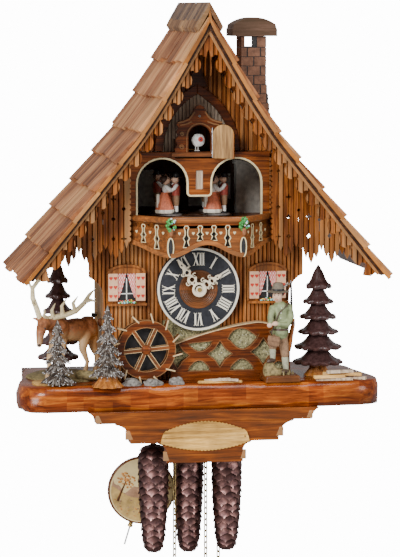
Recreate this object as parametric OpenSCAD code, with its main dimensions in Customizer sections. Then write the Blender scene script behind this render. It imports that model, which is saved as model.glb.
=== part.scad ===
// Hanging chalet cuckoo clock. Heights inside the modules are measured from the
// terrace top; terrace() moves them so that the origin is the hanging hole.

/* [Case] */
// Outside width between the two side walls
case_w = 226; // [222:1:228]
// Distance from the wall plane to the outer face of the front wall
case_d = 142; // [140:1:144]
// Thickness of the case boards
wall_t = 8; // [6:0.5:9]
// Height of the hanging hole above the terrace
hang_h = 330; // [320:1:340]
// Radius of the hanging hole
hang_r = 4; // [3:0.5:5]

/* [Base] */
// Full width of the terrace at its widest point
base_w = 468; // [460:1:476]
// Depth of the terrace from the wall plane
base_d = 203; // [200:1:206]
// Thickness of the terrace board
lip_t = 31; // [28:1:34]
// Depth of the apron below the terrace top
apron_drop = 98; // [94:1:102]

/* [Roof] */
// Height of the shingle line at the ridge
ridge_h = 474.5; // [470:0.5:478]
// Fall per millimetre on the steep upper part
roof_steep = 1.758; // [1.74:0.005:1.77]
// Fall per millimetre on the lower part
roof_shallow = 1.248; // [1.24:0.005:1.26]
// Distance from the ridge line to the eave
eave_x = 234; // [230:1:236]
// Length of the roof from the wall plane to its front edge
roof_d = 233; // [230:1:236]
// Number of shingle courses on each side
courses = 8; // [6:1:10]

/* [Dial and hands] */
// Radius of the dial ring
dial_r = 52.5; // [50:0.5:53]
// Height of the dial centre
dial_h = 116.5; // [116:0.5:117]
// Length of the minute hand
minute_len = 48; // [44:1:49]
// Length of the hour hand
hour_len = 34; // [30:1:36]
// Angle shown by the minute hand, clockwise from twelve
minute_angle = 324; // [0:1:359]
// Angle shown by the hour hand, clockwise from twelve
hour_angle = 57; // [0:1:359]

/* [Pendulum and weights] */
// Tilt of the pendulum rod as stored
swing_tilt = 16.93; // [16:0.1:17]
// Radius of the pendulum bob
bob_r = 45; // [42:1:46]
// Largest radius of a pine cone weight
cone_r = 20.5; // [19:0.5:20.5]
// Length of a pine cone weight
cone_len = 143; // [138:1:146]

/* [Carousel] */
// Radius of the circle on which the dancing couples stand
carousel_r = 46; // [44:0.5:46]

/* [Hidden] */
$fn = 48;

case_x = case_w / 2;
front_y = -case_d;
inner_y = front_y + wall_t;
run_gap = 0.05;
deck_out = 7;
deck_in = 14;
clear = 0.3;
bend_in = 50;
bend_out = 110;

// Movement layout: plate faces and arbor positions
plate_front_y = -118;
plate_back_y = -48;
plate_t = 2;
side_chain_y = -91;
mid_chain_y = -66;
side_wheel_x = 34.5;
side_wheel_h = 70;
side_wheel_r = 13.9;
mid_wheel = [22, 90];
mid_wheel_r = 20;
escape_h = 103;
anchor_h = 75;
hook_h = 22;
pendulum_y = -32;
bob_drop = 192.3;
rod_len = 268.5;
minute_axis_rise = 24;
pillars = [[-12, 56], [12, 56], [-33, 167], [33, 167]];
carousel_y = -94;
wheel_pos = [-70, 42.7];
cuckoo_pivot = [-40, -128];
door_pivot = [16, -165.8];
link_w = 5.6;
cone_tops = [-92, -98, -92];

brown = [0.45, 0.22, 0.10];
ochre = [0.66, 0.38, 0.15];
dark = [0.16, 0.09, 0.06];
cream = [0.95, 0.90, 0.76];
brass = [0.80, 0.63, 0.28];

module terrace() { translate([0, 0, -hang_h]) children(); }

// A board cut from a front view outline, between two depths
module board_xz(y_front, y_back) {
    translate([0, y_back, 0]) rotate([90, 0, 0]) linear_extrude(y_back - y_front) children();
}

// A board cut from a plan outline, between two heights
module board_xy(h_low, h_high) {
    translate([0, 0, h_low]) linear_extrude(h_high - h_low) children();
}

// A round bar along the depth axis
module bar_y(at, r, y_front, y_back) {
    translate([at[0], y_front, at[1]]) rotate([-90, 0, 0]) cylinder(r = r, h = y_back - y_front);
}

module both_sides() {
    children();
    mirror([1, 0, 0]) children();
}

function roof_h(x) =
    x < bend_in ? ridge_h - roof_steep * x
    : x < bend_out ? ridge_h - roof_steep * x
        + (roof_steep - roof_shallow) * pow(x - bend_in, 2) / (2 * (bend_out - bend_in))
    : ridge_h - roof_steep * x + (roof_steep - roof_shallow) * (x - (bend_in + bend_out) / 2);
function roof_fall(x) =
    x < bend_in ? roof_steep
    : x < bend_out ? roof_steep - (roof_steep - roof_shallow) * (x - bend_in) / (bend_out - bend_in)
    : roof_shallow;
function roof_angle(x) = atan(roof_fall(x));
function roof_pt(x, depth) =
    [x - depth * sin(roof_angle(x)), roof_h(x) - depth * cos(roof_angle(x))];
function ridge_pt(depth) = [0, ridge_h - depth / cos(atan(roof_steep))];
function roof_line(depth, x_end) = concat([ridge_pt(depth)],
    [for (x = [bend_in, 60, 70, 80, 90, 100, bend_out]) if (x < x_end) roof_pt(x, depth)],
    [roof_pt(x_end, depth)]);
function backwards(list) = [for (i = [len(list) - 1:-1:0]) list[i]];
// The two-sided outline of everything below the roof deck, above a given height
function under_roof_outline(half, low_h, gap) = concat(
    [[half, low_h]],
    backwards([for (p = roof_line(deck_in + gap, eave_x)) if (p[0] < half && p[1] > low_h) p]),
    [for (p = roof_line(deck_in + gap, eave_x)) if (p[0] > 0 && p[0] < half && p[1] > low_h) [-p[0], p[1]]],
    [[-half, low_h]]);
function course_x(k) = k == 0 ? 6.5 : 14 + 24.5 * k + 0.4 * k * k;

// ---- Base ----

module base_outline() {
    half = base_w / 2;
    points = [[half - 24, 0], [half - 12, -80], [half, -150], [half - 3, -182], [half - 14, -196],
        [half - 34, -base_d]];
    polygon(concat(points, backwards([for (p = points) [-p[0], p[1]]])));
}

module base_board() {
    color(brown) terrace() difference() {
        board_xy(-lip_t, 0) base_outline();
        translate([-56, -100, -lip_t - 1]) cube([112, 42, lip_t + 2]);
        translate([-34, -44, -lip_t - 1]) cube([68, 24, lip_t + 2]);
        translate([wheel_pos[0] - 28, -176, -9]) cube([56, 20, 10]);
    }
}

module apron_half() {
    difference() {
        polygon([[0, -lip_t], [143, -lip_t], [138, -46], [115, -46], [115, -50], [95, -50],
            [95, -72], [57, -72], [57, -76], [49, -76], [49, -apron_drop], [0, -apron_drop]]);
        translate([153, -46]) circle(r = 15);
        translate([115, -70]) circle(r = 20);
    }
}

module base_apron() {
    color(ochre) terrace() board_xz(-base_d, -base_d + 20) {
        apron_half();
        mirror([1, 0]) apron_half();
    }
}

module plaque() {
    lobes = 34;
    steps = 136;
    color(cream) terrace() translate([0, 0, -64]) board_xz(-base_d - 2.6, -base_d) {
        polygon([for (i = [0:steps - 1])
            let (a = 360 * i / steps, s = 1 + 0.018 * cos(lobes * a))
                [57 * s * cos(a), 18.5 * s * sin(a) * (1 - 0.12 * pow(cos(a), 2))]]);
    }
}

// ---- Case ----

module side_walls() {
    slot_y = -26;
    color(brown) terrace() difference() {
        both_sides() translate([case_x - wall_t, inner_y, 0]) cube([wall_t, -inner_y - wall_t, 267]);
        translate([-case_x - 1, slot_y - 2, 59]) cube([wall_t + 2, 4, 24]);
    }
}

module wall_half() {
    difference() {
        polygon([[0, 0], [120, 0], [120, 105], [138, 132], [138, 198.8], [0, 198.8]]);
        translate([148, 106]) circle(r = 28);
        translate([68, 102]) square([46, 37]);
    }
}

module front_wall() {
    color(brown) terrace() board_xz(front_y, inner_y) {
        difference() {
            union() {
                wall_half();
                mirror([1, 0]) wall_half();
            }
            translate([0, dial_h]) circle(r = 9);
            translate(wheel_pos) circle(r = 2.5 + run_gap);
        }
    }
}

module back_board() {
    color(brown) terrace() difference() {
        board_xz(-wall_t, 0) polygon(under_roof_outline(case_x, 188, clear));
        translate([-20, -2, hang_h - 14]) cube([40, 3, 28]);
        bar_y([0, hang_h], 9, -wall_t - 1, 1);
    }
    color(brown) terrace() both_sides() translate([case_x - 10, -wall_t, 0]) cube([10, wall_t, 187.8]);
}

module gable_panel() {
    color([0.80, 0.74, 0.58]) terrace() board_xz(front_y, inner_y) {
        difference() {
            polygon(under_roof_outline(138, 205.2, clear));
            translate([-84, 204]) square([168, 84]);
            translate([-22, 287]) square([44, 42]);
        }
    }
}

// Two curved beams meeting in a pointed arch, with a king post, in front of the gable panel
module arch_band() {
    intersection() {
        translate([-39.6, 290]) difference() {
            circle(r = 94.6, $fn = 96);
            circle(r = 83.6, $fn = 96);
        }
        translate([0, 291.5]) square([60, 90]);
    }
}

module gable_beams() {
    color(dark) terrace() board_xz(front_y - 5, front_y) {
        arch_band();
        mirror([1, 0]) arch_band();
        polygon([[-14, 372], [14, 372], [0, 420]]);
    }
}

// ---- Roof ----

module roof_panel_right() {
    color(brown) terrace() board_xz(-roof_d, -3) {
        polygon(concat(roof_line(deck_out, eave_x - 2), backwards(roof_line(deck_in, eave_x - 4))));
    }
}

module roof_panel_left() { mirror([1, 0, 0]) roof_panel_right(); }

module shingles_right() {
    tip_t = deck_out - 0.1;
    color([0.55, 0.42, 0.33]) terrace() board_xz(-roof_d - 3, -2) {
        for (k = [1:courses]) {
            top = course_x(k - 1);
            butt = course_x(k);
            polygon([roof_pt(top, tip_t), roof_pt(top, tip_t - 1.5), roof_pt(butt, 0),
                roof_pt(butt, tip_t)]);
        }
    }
}

module shingles_left() { mirror([1, 0, 0]) shingles_right(); }

module ridge_cap() {
    lift = 5;
    width = 17.5;
    color(dark) terrace() board_xz(-roof_d - 4, -1) {
        both_sides() polygon([[0, ridge_h + lift], [width, roof_h(width) + lift],
            roof_pt(width, 3.4), ridge_pt(3.4)]);
    }
}

// Front boards under the rake, with a hooked lower edge
module barge_half() {
    x_end = 222;
    hooks = 17;
    hook_x = (x_end - 14) / hooks;
    low = [for (i = [hooks - 1:-1:0]) let (x = 14 + hook_x * i)
        each [roof_pt(x + hook_x, 24), roof_pt(x + hook_x * 0.85, 30), roof_pt(x + hook_x * 0.45, 30),
            roof_pt(x + hook_x * 0.3, 23)]];
    polygon(concat(roof_line(deck_in + clear, x_end), low, [[0, roof_pt(14, 18)[1] - 12]]));
}

module bargeboards() {
    color(ochre) terrace() {
        board_xz(-227, -219) {
            barge_half();
            mirror([1, 0]) barge_half();
        }
        board_xz(-roof_d - 5, -roof_d - 3.2) both_sides() {
            polygon(concat(roof_line(deck_out + 1, 229), backwards(roof_line(deck_in - 1, 229))));
        }
    }
}

module icicle_half() {
    tip_w = 23;
    tips = [162, 155, 147.5, 157];
    difference() {
        polygon(concat([[92, roof_pt(105, deck_in + clear)[1]]],
            [for (i = [0:3]) each [[92 + tip_w * i, 178], [92 + tip_w * (i + 0.5), tips[i]]]],
            [[92 + tip_w * 4, 180], roof_pt(198, deck_in + clear), roof_pt(150, deck_in + clear),
                roof_pt(bend_out, deck_in + clear)]));
        for (i = [0:2]) translate([92 + tip_w * (i + 1), 205]) rotate(45) square(8, center = true);
    }
}

module icicle_panels() {
    color(ochre) terrace() board_xz(-177, -171) {
        icicle_half();
        mirror([1, 0]) icicle_half();
    }
}

module chimney() {
    left = 59;
    right = 92;
    depth = 34;
    color([0.50, 0.33, 0.24]) terrace() translate([0, -97 - depth, 0]) {
        difference() {
            translate([0, depth, 0]) rotate([90, 0, 0]) linear_extrude(depth)
                polygon([[left, roof_h(left) + clear], [right + 6, roof_h(right + 6) + clear],
                    [right + 4, 346], [right, 380], [right, 436], [left, 436]]);
            translate([left + 5, -1, 423]) cube([15, depth + 2, 12]);
        }
        translate([47, -5, 436]) cube([58, depth + 10, 9]);
        translate([76, -5, 415]) rotate([-90, 0, 0]) intersection() {
            cylinder(r = 45, h = depth + 10);
            translate([-27, -50, 0]) cube([54, 20, depth + 10]);
        }
    }
}

// ---- Stage and cuckoo house ----

module arch_half() {
    intersection() {
        translate([47.5, 249]) circle(r = 35);
        translate([15, 236]) square([65, 60]);
    }
    translate([15, 211]) square([65, 45]);
}

module stage_front() {
    color(brown) terrace() {
        board_xz(-162, -156) difference() {
            translate([-90, 205.2]) square([180, 86]);
            both_sides() arch_half();
            translate([-80, 211]) square([160, 25]);
            translate([-31.2, 285.8]) square([62.4, 6]);
        }
        both_sides() translate([84.5, -156, 205.2]) cube([5.5, 13.8, 86]);
        translate([-84.5, -156, 288.4]) cube([169, 13.8, 2.8]);
    }
}

module bay_outline(grow) {
    polygon([[-92 - grow, -162], [-46 - grow / 2, -217 - grow], [46 + grow / 2, -217 - grow],
        [92 + grow, -162]]);
}

module stage_floor() {
    color(brown) terrace() difference() {
        board_xy(199, 205) {
            translate([-104, -162]) square([208, 122]);
            bay_outline(0);
        }
        translate([0, carousel_y, 198]) cylinder(r = 3 + run_gap, h = 8);
    }
}

module balcony() {
    color(ochre) terrace() difference() {
        union() {
            board_xy(176, 198.8) {
                bay_outline(0);
                translate([-92, -162]) square([184, 19.8]);
            }
            board_xy(205.2, 213) bay_outline(2);
        }
        board_xy(181, 200) difference() {
            translate([0, -8]) bay_outline(-8);
            translate([-100, -162]) square([200, 40]);
        }
        board_xy(205, 214) {
            bay_outline(-5);
            translate([-120, -162.1]) square([240, 40]);
        }
    }
}

module flowers() {
    for (x = [-46, 46]) terrace() translate([x, -225.25, 0]) {
        color([0.35, 0.15, 0.10]) translate([0, 0, 196]) cylinder(r1 = 3.5, r2 = 5, h = 8);
        color([0.15, 0.55, 0.20]) translate([0, 0, 208]) sphere(r = 6.2);
    }
}

module cuckoo_house() {
    outline = [[-31, 286], [31, 286], [31, 308], [27, 316], [16, 326], [9, 334], [4, 346], [0, 350]];
    mirrored = [for (i = [len(outline) - 1:-1:2]) [-outline[i][0], outline[i][1]]];
    color(brown) terrace() {
        board_xz(-164, -157) difference() {
            polygon(concat(outline, mirrored));
            translate([-14.5, 290]) square([29, 20.5]);
            translate([0, 310.5]) circle(r = 14.5);
        }
        both_sides() translate([26, -157, 291.4]) cube([4, 15, 16]);
    }
}

// ---- Dial ----

module dial_plate() {
    color([0.10, 0.11, 0.16]) terrace() difference() {
        bar_y([0, dial_h], dial_r, -155, front_y);
        bar_y([0, dial_h], 5, -156, front_y + 1);
    }
}

hour_names = ["XII", "I", "II", "III", "IIII", "V", "VI", "VII", "VIII", "IX", "X", "XI"];
function glyph_w(c) = c == "I" ? 2.7 : 6;
function text_w(s, n) = n == 0 ? 0 : glyph_w(s[n - 1]) + text_w(s, n - 1);

module stroke(lean, shift, h) {
    translate([shift, 0]) rotate(lean) translate([-0.65, -h / 2]) square([1.3, h]);
}

module glyph(c, h) {
    if (c == "I") stroke(0, 0, h);
    if (c == "V") {
        stroke(11, 1.3, h);
        stroke(-11, -1.3, h);
    }
    if (c == "X") {
        stroke(20, 0, h);
        stroke(-20, 0, h);
    }
}

module dial_numerals() {
    h = 15;
    color(cream) terrace() translate([0, 0, dial_h]) board_xz(-155.8, -155) {
        for (n = [0:11]) rotate(-30 * n) translate([0, 38.5]) {
            name = hour_names[n];
            for (i = [0:len(name) - 1])
                translate([text_w(name, i) + glyph_w(name[i]) / 2 - text_w(name, len(name)) / 2, 0])
                    glyph(name[i], h);
        }
        difference() {
            circle(r = dial_r - 0.5);
            circle(r = dial_r - 3.2);
        }
    }
}

// ---- Windows, mill wall and figures ----

module window_frames() {
    color(ochre) terrace() both_sides() translate([91, 0, 0]) {
        board_xz(front_y - 5, front_y) difference() {
            union() {
                translate([-24, 99]) square([48, 41]);
                translate([0, 126]) intersection() {
                    circle(r = 23);
                    translate([-23, 10]) square([46, 12.5]);
                }
            }
            translate([-11, 103]) square([22, 34]);
        }
        translate([-26, front_y - 9, 96]) cube([52, 9, 3]);
        translate([-0.8, front_y - 4, 103]) cube([1.6, 2, 34]);
        translate([-11, front_y - 4, 119]) cube([22, 2, 1.6]);
        color([0.06, 0.06, 0.07]) translate([-22, front_y + 2, 103]) cube([44, 2, 35]);
    }
}

module window_shutters() {
    color([0.93, 0.72, 0.60]) terrace() both_sides() for (side = [-1, 1])
        translate([91 + side * 17.5 - 6, front_y - 7.2, 103]) cube([12, 2, 34]);
}

function mill_top(x) = x < 75 ? 57 + 0.30 * x - 0.0012 * x * x : 72.8 - 0.009 * pow(x - 75, 2);

module mill_wall() {
    color(brown) terrace() board_xz(front_y - 14, front_y - 0.2) {
        polygon(concat([[119, 0], [-36, 0]], [for (x = [-36:8:116]) [x, mill_top(x)]]));
    }
}

// A tapered bar between two points
module horn(from, to, r) {
    along = to - from;
    translate(from) rotate([0, acos(along[2] / norm(along)), atan2(along[1], along[0])])
        cylinder(r1 = r, r2 = r * 0.6, h = norm(along), $fn = 16);
}

module deer() {
    color([0.62, 0.36, 0.16]) terrace() {
        translate([-212, -150, 0]) cube([92, 108, 3]);
        hull() {
            translate([-172, -104, 62]) sphere(r = 16, $fn = 20);
            translate([-132, -74, 60]) sphere(r = 15, $fn = 20);
        }
        hull() {
            translate([-180, -110, 66]) sphere(r = 11, $fn = 16);
            translate([-197, -128, 72]) sphere(r = 8, $fn = 16);
        }
        hull() {
            translate([-198, -130, 71]) sphere(r = 7, $fn = 16);
            translate([-202, -144, 49]) sphere(r = 3.5, $fn = 16);
        }
        for (leg = [[-188, -122], [-172, -112], [-138, -90], [-122, -70]])
            translate([leg[0], leg[1], 2]) cylinder(r1 = 2.6, r2 = 5.5, h = 56);
        horn([-199, -126, 75], [-208, -122, 116], 2.8);
        horn([-208, -122, 114], [-190, -121, 133], 2.2);
        horn([-206, -123, 100], [-211, -133, 108], 2);
        horn([-192, -126, 76], [-148, -115, 90], 3);
        horn([-150, -115, 89], [-129, -114, 113], 2.6);
        for (k = [0:2]) horn([-182 + 14 * k, -121 + 2 * k, 79 + 3 * k],
            [-181 + 16 * k, -128 + 2 * k, 99 + 3 * k], 2);
    }
}

module hunter() {
    color([0.25, 0.38, 0.26]) terrace() translate([100, -178, 0]) {
        translate([-22, -24, 0]) cube([46, 44, 9]);
        for (side = [-1, 1]) translate([side * 7, side * -4, 9]) cylinder(r1 = 4.5, r2 = 7, h = 46);
        hull() {
            translate([0, 0, 54]) cylinder(r = 13, h = 4, $fn = 24);
            translate([0, 0, 90]) cylinder(r = 9, h = 6, $fn = 24);
        }
        for (side = [-1, 1]) translate([side * 12, 0, 90]) rotate([-side * 18, side * 168, 0])
            cylinder(r1 = 4.4, r2 = 3.4, h = 34);
        translate([0, -1, 108]) sphere(r = 9);
        translate([0, 0, 113]) cylinder(r = 14, h = 2.4);
        translate([0, 0, 115.4]) cylinder(r1 = 9, r2 = 6, h = 13);
        translate([14, 9, 60]) rotate([0, 26, 0]) cylinder(r = 2.2, h = 62);
    }
}

// A fir as one turned solid: a stack of flared skirts on a trunk
module fir(height, spread, tiers, foot) {
    step = (height - foot) / tiers;
    rotate_extrude($fn = 40) polygon(concat([[0, 0], [foot * 0.45, 0], [foot * 0.25, foot]],
        [for (i = [0:tiers - 1]) let (r = spread * (1 - 0.82 * i / tiers))
            each [[r, foot + step * i], [r * 0.42, foot + step * (i + 0.96)]]],
        [[0, height]]));
}

module pine_trees() {
    color([0.30, 0.18, 0.20]) terrace() {
        translate([160, -135, 0]) fir(144, 29, 6, 15);
        translate([-165, -32, 0]) fir(147, 24, 6, 15);
    }
}

module snowy_trees() {
    color([0.55, 0.56, 0.56]) terrace() {
        translate([-183, -176, 0]) fir(78, 24, 5, 6);
        translate([-122, -194, 0]) fir(103, 19.5, 6, 16);
    }
}

module stones() {
    color([0.55, 0.53, 0.50]) terrace() for (s = [[-92, 22, -188], [-64, 21, -190], [-34, 18, -187]])
        translate([s[0], s[2], 0]) hull() {
            cylinder(r = s[1] / 2, h = 3, $fn = 14);
            translate([2, 1, 5]) cylinder(r = s[1] / 3, h = 3, $fn = 10);
        }
}

module firewood() {
    color([0.93, 0.78, 0.50]) terrace() {
        for (k = [0:2]) translate([8 + 9 * k, -186, 3.2]) rotate([0, 90, 22 - 16 * k])
            cylinder(r = 3.2, h = 20, center = true);
        for (k = [0:2]) translate([150 + 14 * k, -196 + 5 * k, 1.5 + 2.4 * k]) rotate([0, 0, 8 - 12 * k])
            cube([42, 7, 2.2], center = true);
    }
}

// ---- Movement ----

module plate_bores(y) {
    for (at = [[-side_wheel_x, side_wheel_h], [side_wheel_x, side_wheel_h], [0, escape_h]])
        bar_y(at, 1.5 + run_gap, y - 1, y + plate_t + 1);
    bar_y([0, dial_h], 2 + run_gap, y - 1, y + plate_t + 1);
}

module movement_plates() {
    color(brass) terrace() {
        difference() {
            translate([-46, plate_front_y, 52]) cube([92, plate_t, 120]);
            plate_bores(plate_front_y);
            bar_y([0, dial_h + minute_axis_rise], 1.5 + run_gap, plate_front_y - 1, -115);
        }
        difference() {
            translate([-46, plate_back_y, 52]) cube([92, plate_t, 120]);
            plate_bores(plate_back_y);
            bar_y(mid_wheel, 1.5 + run_gap, plate_back_y - 1, plate_back_y + 3);
            bar_y([0, anchor_h], 1.5 + run_gap, plate_back_y - 1, plate_back_y + 3);
        }
        for (at = pillars) {
            bar_y(at, 3, plate_front_y + plate_t, plate_back_y);
            bar_y(at, 2, inner_y, plate_front_y);
        }
    }
}

module hanger_plate() {
    color([0.55, 0.55, 0.57]) terrace() {
        difference() {
            translate([-18, -2, hang_h - 12]) cube([36, 1.5, 24]);
            bar_y([0, hang_h], hang_r, -3, 1);
        }
        for (x = [-13, 13]) bar_y([x, hang_h], 3, -0.5, 0);
    }
}

module bellows() {
    color([0.70, 0.68, 0.62]) terrace() both_sides() {
        translate([67, -58, 205.4]) cube([34, 34, 64]);
        translate([65, -60, 269.4]) cube([38, 38, 5]);
        translate([70, -55, 274.4]) cube([28, 28, 8]);
    }
}

module music_box() {
    color(brass) terrace() {
        translate([-38, -112, 174]) cube([76, 56, 4]);
        translate([-30, -80, 186]) rotate([0, 90, 0]) cylinder(r = 7, h = 60);
        translate([-34, -88, 178]) cube([4, 16, 16]);
        translate([30, -88, 178]) cube([4, 16, 16]);
        translate([-28, -108, 178]) cube([56, 12, 7]);
    }
}

// A spur wheel in the front view plane, tooth zero pointing up
module spur(teeth, pitch_r, tooth_h) {
    base_w = 0.24 * 2 * PI * pitch_r / teeth;
    circle(r = pitch_r - tooth_h);
    for (i = [0:teeth - 1]) rotate(360 * i / teeth) polygon([[-base_w, pitch_r - tooth_h - 0.5],
        [base_w, pitch_r - tooth_h - 0.5], [base_w * 0.5, pitch_r + tooth_h * 0.8],
        [-base_w * 0.5, pitch_r + tooth_h * 0.8]]);
}

module centre_arbor() {
    color(brass) terrace() {
        bar_y([0, dial_h], 2, -162.4, -44.5);
        translate([0, 0, dial_h]) board_xz(-122.5, -119.5) spur(12, 6, 0.85);
        bar_y([0, dial_h], 2.8, -164.2, -162.4);
    }
}

module hand_blade(length, width, eye) {
    circle(r = eye);
    translate([0, length * 0.42]) circle(r = width * 0.62);
    translate([0, length * 0.72]) circle(r = width * 0.36);
    polygon([[-width * 0.22, 0], [width * 0.22, 0], [width * 0.30, length * 0.3],
        [width * 0.12, length * 0.9], [0, length], [-width * 0.12, length * 0.9],
        [-width * 0.30, length * 0.3]]);
}

module minute_hand() {
    color(cream) terrace() translate([0, 0, dial_h]) rotate([0, minute_angle, 0])
        board_xz(-162.2, -161) difference() {
            hand_blade(minute_len, 9, 6);
            circle(r = 2);
            translate([0, minute_len * 0.42]) circle(r = 3.4);
        }
}

module hour_hand() {
    pipe_in = 2 + run_gap;
    color(cream) terrace() translate([0, 0, dial_h]) {
        rotate([0, hour_angle, 0]) board_xz(-159.6, -158.2) difference() {
            hand_blade(hour_len, 9, 6);
            circle(r = pipe_in);
            translate([0, hour_len * 0.42]) circle(r = 3.2);
        }
        board_xz(-158.2, -124.5) difference() {
            circle(r = 3.9);
            circle(r = pipe_in);
        }
        board_xz(-127.5, -124.5) difference() {
            rotate(4.5) spur(40, 19.2, 0.8);
            circle(r = pipe_in);
        }
    }
}

module minute_wheel() {
    color(brass) terrace() translate([0, 0, dial_h + minute_axis_rise]) {
        board_xz(-122.5, -119.5) rotate(5) spur(36, 18, 0.85);
        board_xz(-128, -124) spur(10, 4.8, 0.8);
        bar_y([0, 0], 1.5, -129.5, -115.5);
    }
}

module escape_wheel() {
    teeth = 30;
    color(brass) terrace() translate([0, 0, escape_h]) {
        board_xz(-42, -40.4) difference() {
            union() {
                circle(r = 12);
                for (i = [0:teeth - 1]) rotate(12 * i)
                    polygon([[-0.7, 11.5], [0.7, 11.5], [0.9, 14]]);
            }
            for (i = [0:4]) rotate(72 * i) translate([0, 7]) circle(r = 3);
        }
        bar_y([0, 0], 1.5, plate_front_y - 1, -38.5);
    }
}

module anchor() {
    arm_len = 24;
    color([0.6, 0.6, 0.62]) terrace() {
        board_xz(-42, -40.4) translate([0, anchor_h]) {
            circle(r = 4);
            for (side = [-1, 1]) rotate(-40 * side) translate([-1.6, 0]) square([3.2, arm_len - 1]);
        }
        bar_y([0, anchor_h], 1.5, -50, -35);
        translate([0, -37, hook_h - 3]) cylinder(r = 1, h = anchor_h - hook_h + 3);
        bar_y([0, hook_h], 1, -37, -29.5);
    }
}

// Everything on the tilted rod is drawn hanging straight from the hook
module from_hook() {
    terrace() translate([0, pendulum_y, hook_h]) rotate([0, swing_tilt, 0]) children();
}

module pendulum_rod() {
    color([0.35, 0.30, 0.26]) from_hook() {
        board_xz(-1.2, 1.2) difference() {
            circle(r = 3.2);
            circle(r = 1 + run_gap);
        }
        translate([0, 0, -rod_len]) cylinder(r = 1.2, h = rod_len - 2);
    }
}

module pendulum_bob() {
    color([0.75, 0.62, 0.36]) from_hook() difference() {
        union() {
            bar_y([0, -bob_drop], bob_r, -6.5, -1.6);
            bar_y([0, -bob_drop], bob_r - 4, -7.4, -6.5);
            translate([-4, -1.6, -bob_drop - 20]) cube([8, 4.6, 40]);
            translate([0, 0, -bob_drop - bob_r - 7]) cylinder(r1 = 2.2, r2 = 3.6, h = 9);
        }
        translate([0, 0, -bob_drop - bob_r - 20]) cylinder(r = 1.2 + run_gap, h = 2 * bob_r + 40);
    }
}

// Plain envelope of a run of chain
module strand(at, h_low, h_high) {
    thin = 1.7;
    translate([at[0], at[1], h_low]) linear_extrude(h_high - h_low) {
        square([link_w, thin], center = true);
        square([thin, link_w], center = true);
    }
}

module weight(at, top_h, wheel_h) {
    terrace() {
        color([0.36, 0.22, 0.20]) translate([at[0], at[1], top_h - cone_len]) rotate_extrude()
            polygon([[0, 0], [7, 1], [12, 6], [15, 18], [17.5, 44], [19.5, 80], [cone_r, 112],
                [cone_r - 0.5, 130], [cone_r - 5, 140], [4, cone_len], [0, cone_len]]);
        color(brass) translate([at[0], at[1], top_h]) cylinder(r = 2, h = 6);
        color(brass) strand(at, top_h + 6, wheel_h);
    }
}

module free_chain(at, wheel_h) {
    color(brass) terrace() {
        strand(at, -282, wheel_h);
        translate([at[0], at[1], -289]) rotate([90, 0, 0]) rotate_extrude()
            translate([6, 0]) circle(r = 1.2, $fn = 16);
    }
}

module chain_wheel(at, y, r, y_front) {
    color(brass) terrace() {
        bar_y(at, r - link_w / 2 - 0.6, y - 3.2, y + 3.2);
        for (side = [-1, 1]) bar_y(at, r + 0.5, y + side * 3.9 - 0.7, y + side * 3.9 + 0.7);
        bar_y(at, 1.5, y_front, plate_back_y + plate_t + 1.5);
    }
}

left_weight_at = [-side_wheel_x - side_wheel_r, side_chain_y];
right_weight_at = [side_wheel_x + side_wheel_r, side_chain_y];
mid_weight_at = [mid_wheel[0] - mid_wheel_r, mid_chain_y];

module weight_left() { weight(left_weight_at, cone_tops[0], side_wheel_h); }
module weight_middle() { weight(mid_weight_at, cone_tops[1], mid_wheel[1]); }
module weight_right() { weight(right_weight_at, cone_tops[2], side_wheel_h); }
module chain_left() { free_chain([-side_wheel_x + side_wheel_r, side_chain_y], side_wheel_h); }
module chain_middle() { free_chain([mid_wheel[0] + mid_wheel_r, mid_chain_y], mid_wheel[1]); }
module chain_right() { free_chain([side_wheel_x - side_wheel_r, side_chain_y], side_wheel_h); }
module sprocket_left() {
    chain_wheel([-side_wheel_x, side_wheel_h], side_chain_y, side_wheel_r, plate_front_y - 1.5);
}
module sprocket_middle() { chain_wheel(mid_wheel, mid_chain_y, mid_wheel_r, mid_chain_y - 10); }
module sprocket_right() {
    chain_wheel([side_wheel_x, side_wheel_h], side_chain_y, side_wheel_r, plate_front_y - 1.5);
}

// ---- Cuckoo, carousel, water wheel and other moving parts ----

module cuckoo_bird() {
    terrace() {
        color("white") hull() {
            translate([0, -153, 305]) sphere(r = 8, $fn = 24);
            translate([2, -148, 301]) sphere(r = 6.5, $fn = 24);
        }
        color("red") translate([0, -160, 306]) rotate([90, 0, 0]) cylinder(r1 = 3, r2 = 1.4, h = 4);
        color(brass) {
            translate([0, -150, 291.6]) cylinder(r = 0.9, h = 8);
            translate([-1, -150, 291.6]) cube([2, 23, 1.8]);
            translate([cuckoo_pivot[0], -129, 291.6]) cube([-cuckoo_pivot[0] + 1, 2, 1.8]);
            translate([cuckoo_pivot[0], cuckoo_pivot[1], 289.5]) cylinder(r = 2, h = 12);
        }
    }
}

module cuckoo_door() {
    open_angle = -30;
    color([0.82, 0.66, 0.42]) terrace() translate([door_pivot[0], door_pivot[1], 0]) {
        rotate([0, 0, open_angle]) difference() {
            translate([1, -1.3, 283]) cube([28, 2.6, 43]);
            translate([29, -2, 331]) rotate([-90, 0, 0]) cylinder(r = 14, h = 4);
        }
        translate([0, 0, 284]) cylinder(r = 1.3, h = 38);
    }
}

module couple_places() {
    for (a = [45:90:315]) translate([0, carousel_y, 0]) rotate([0, 0, a])
        translate([carousel_r, 0, 0]) children();
}

module carousel() {
    color([0.30, 0.16, 0.09]) terrace() {
        translate([0, carousel_y, 196]) cylinder(r = 3, h = 12);
        difference() {
            translate([0, carousel_y, 206]) cylinder(r = carousel_r + 8, h = 3);
            for (a = [0:90:270]) translate([0, carousel_y, 205]) rotate([0, 0, a])
                translate([30, 0, 0]) cylinder(r = 12, h = 5);
        }
    }
}

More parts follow.
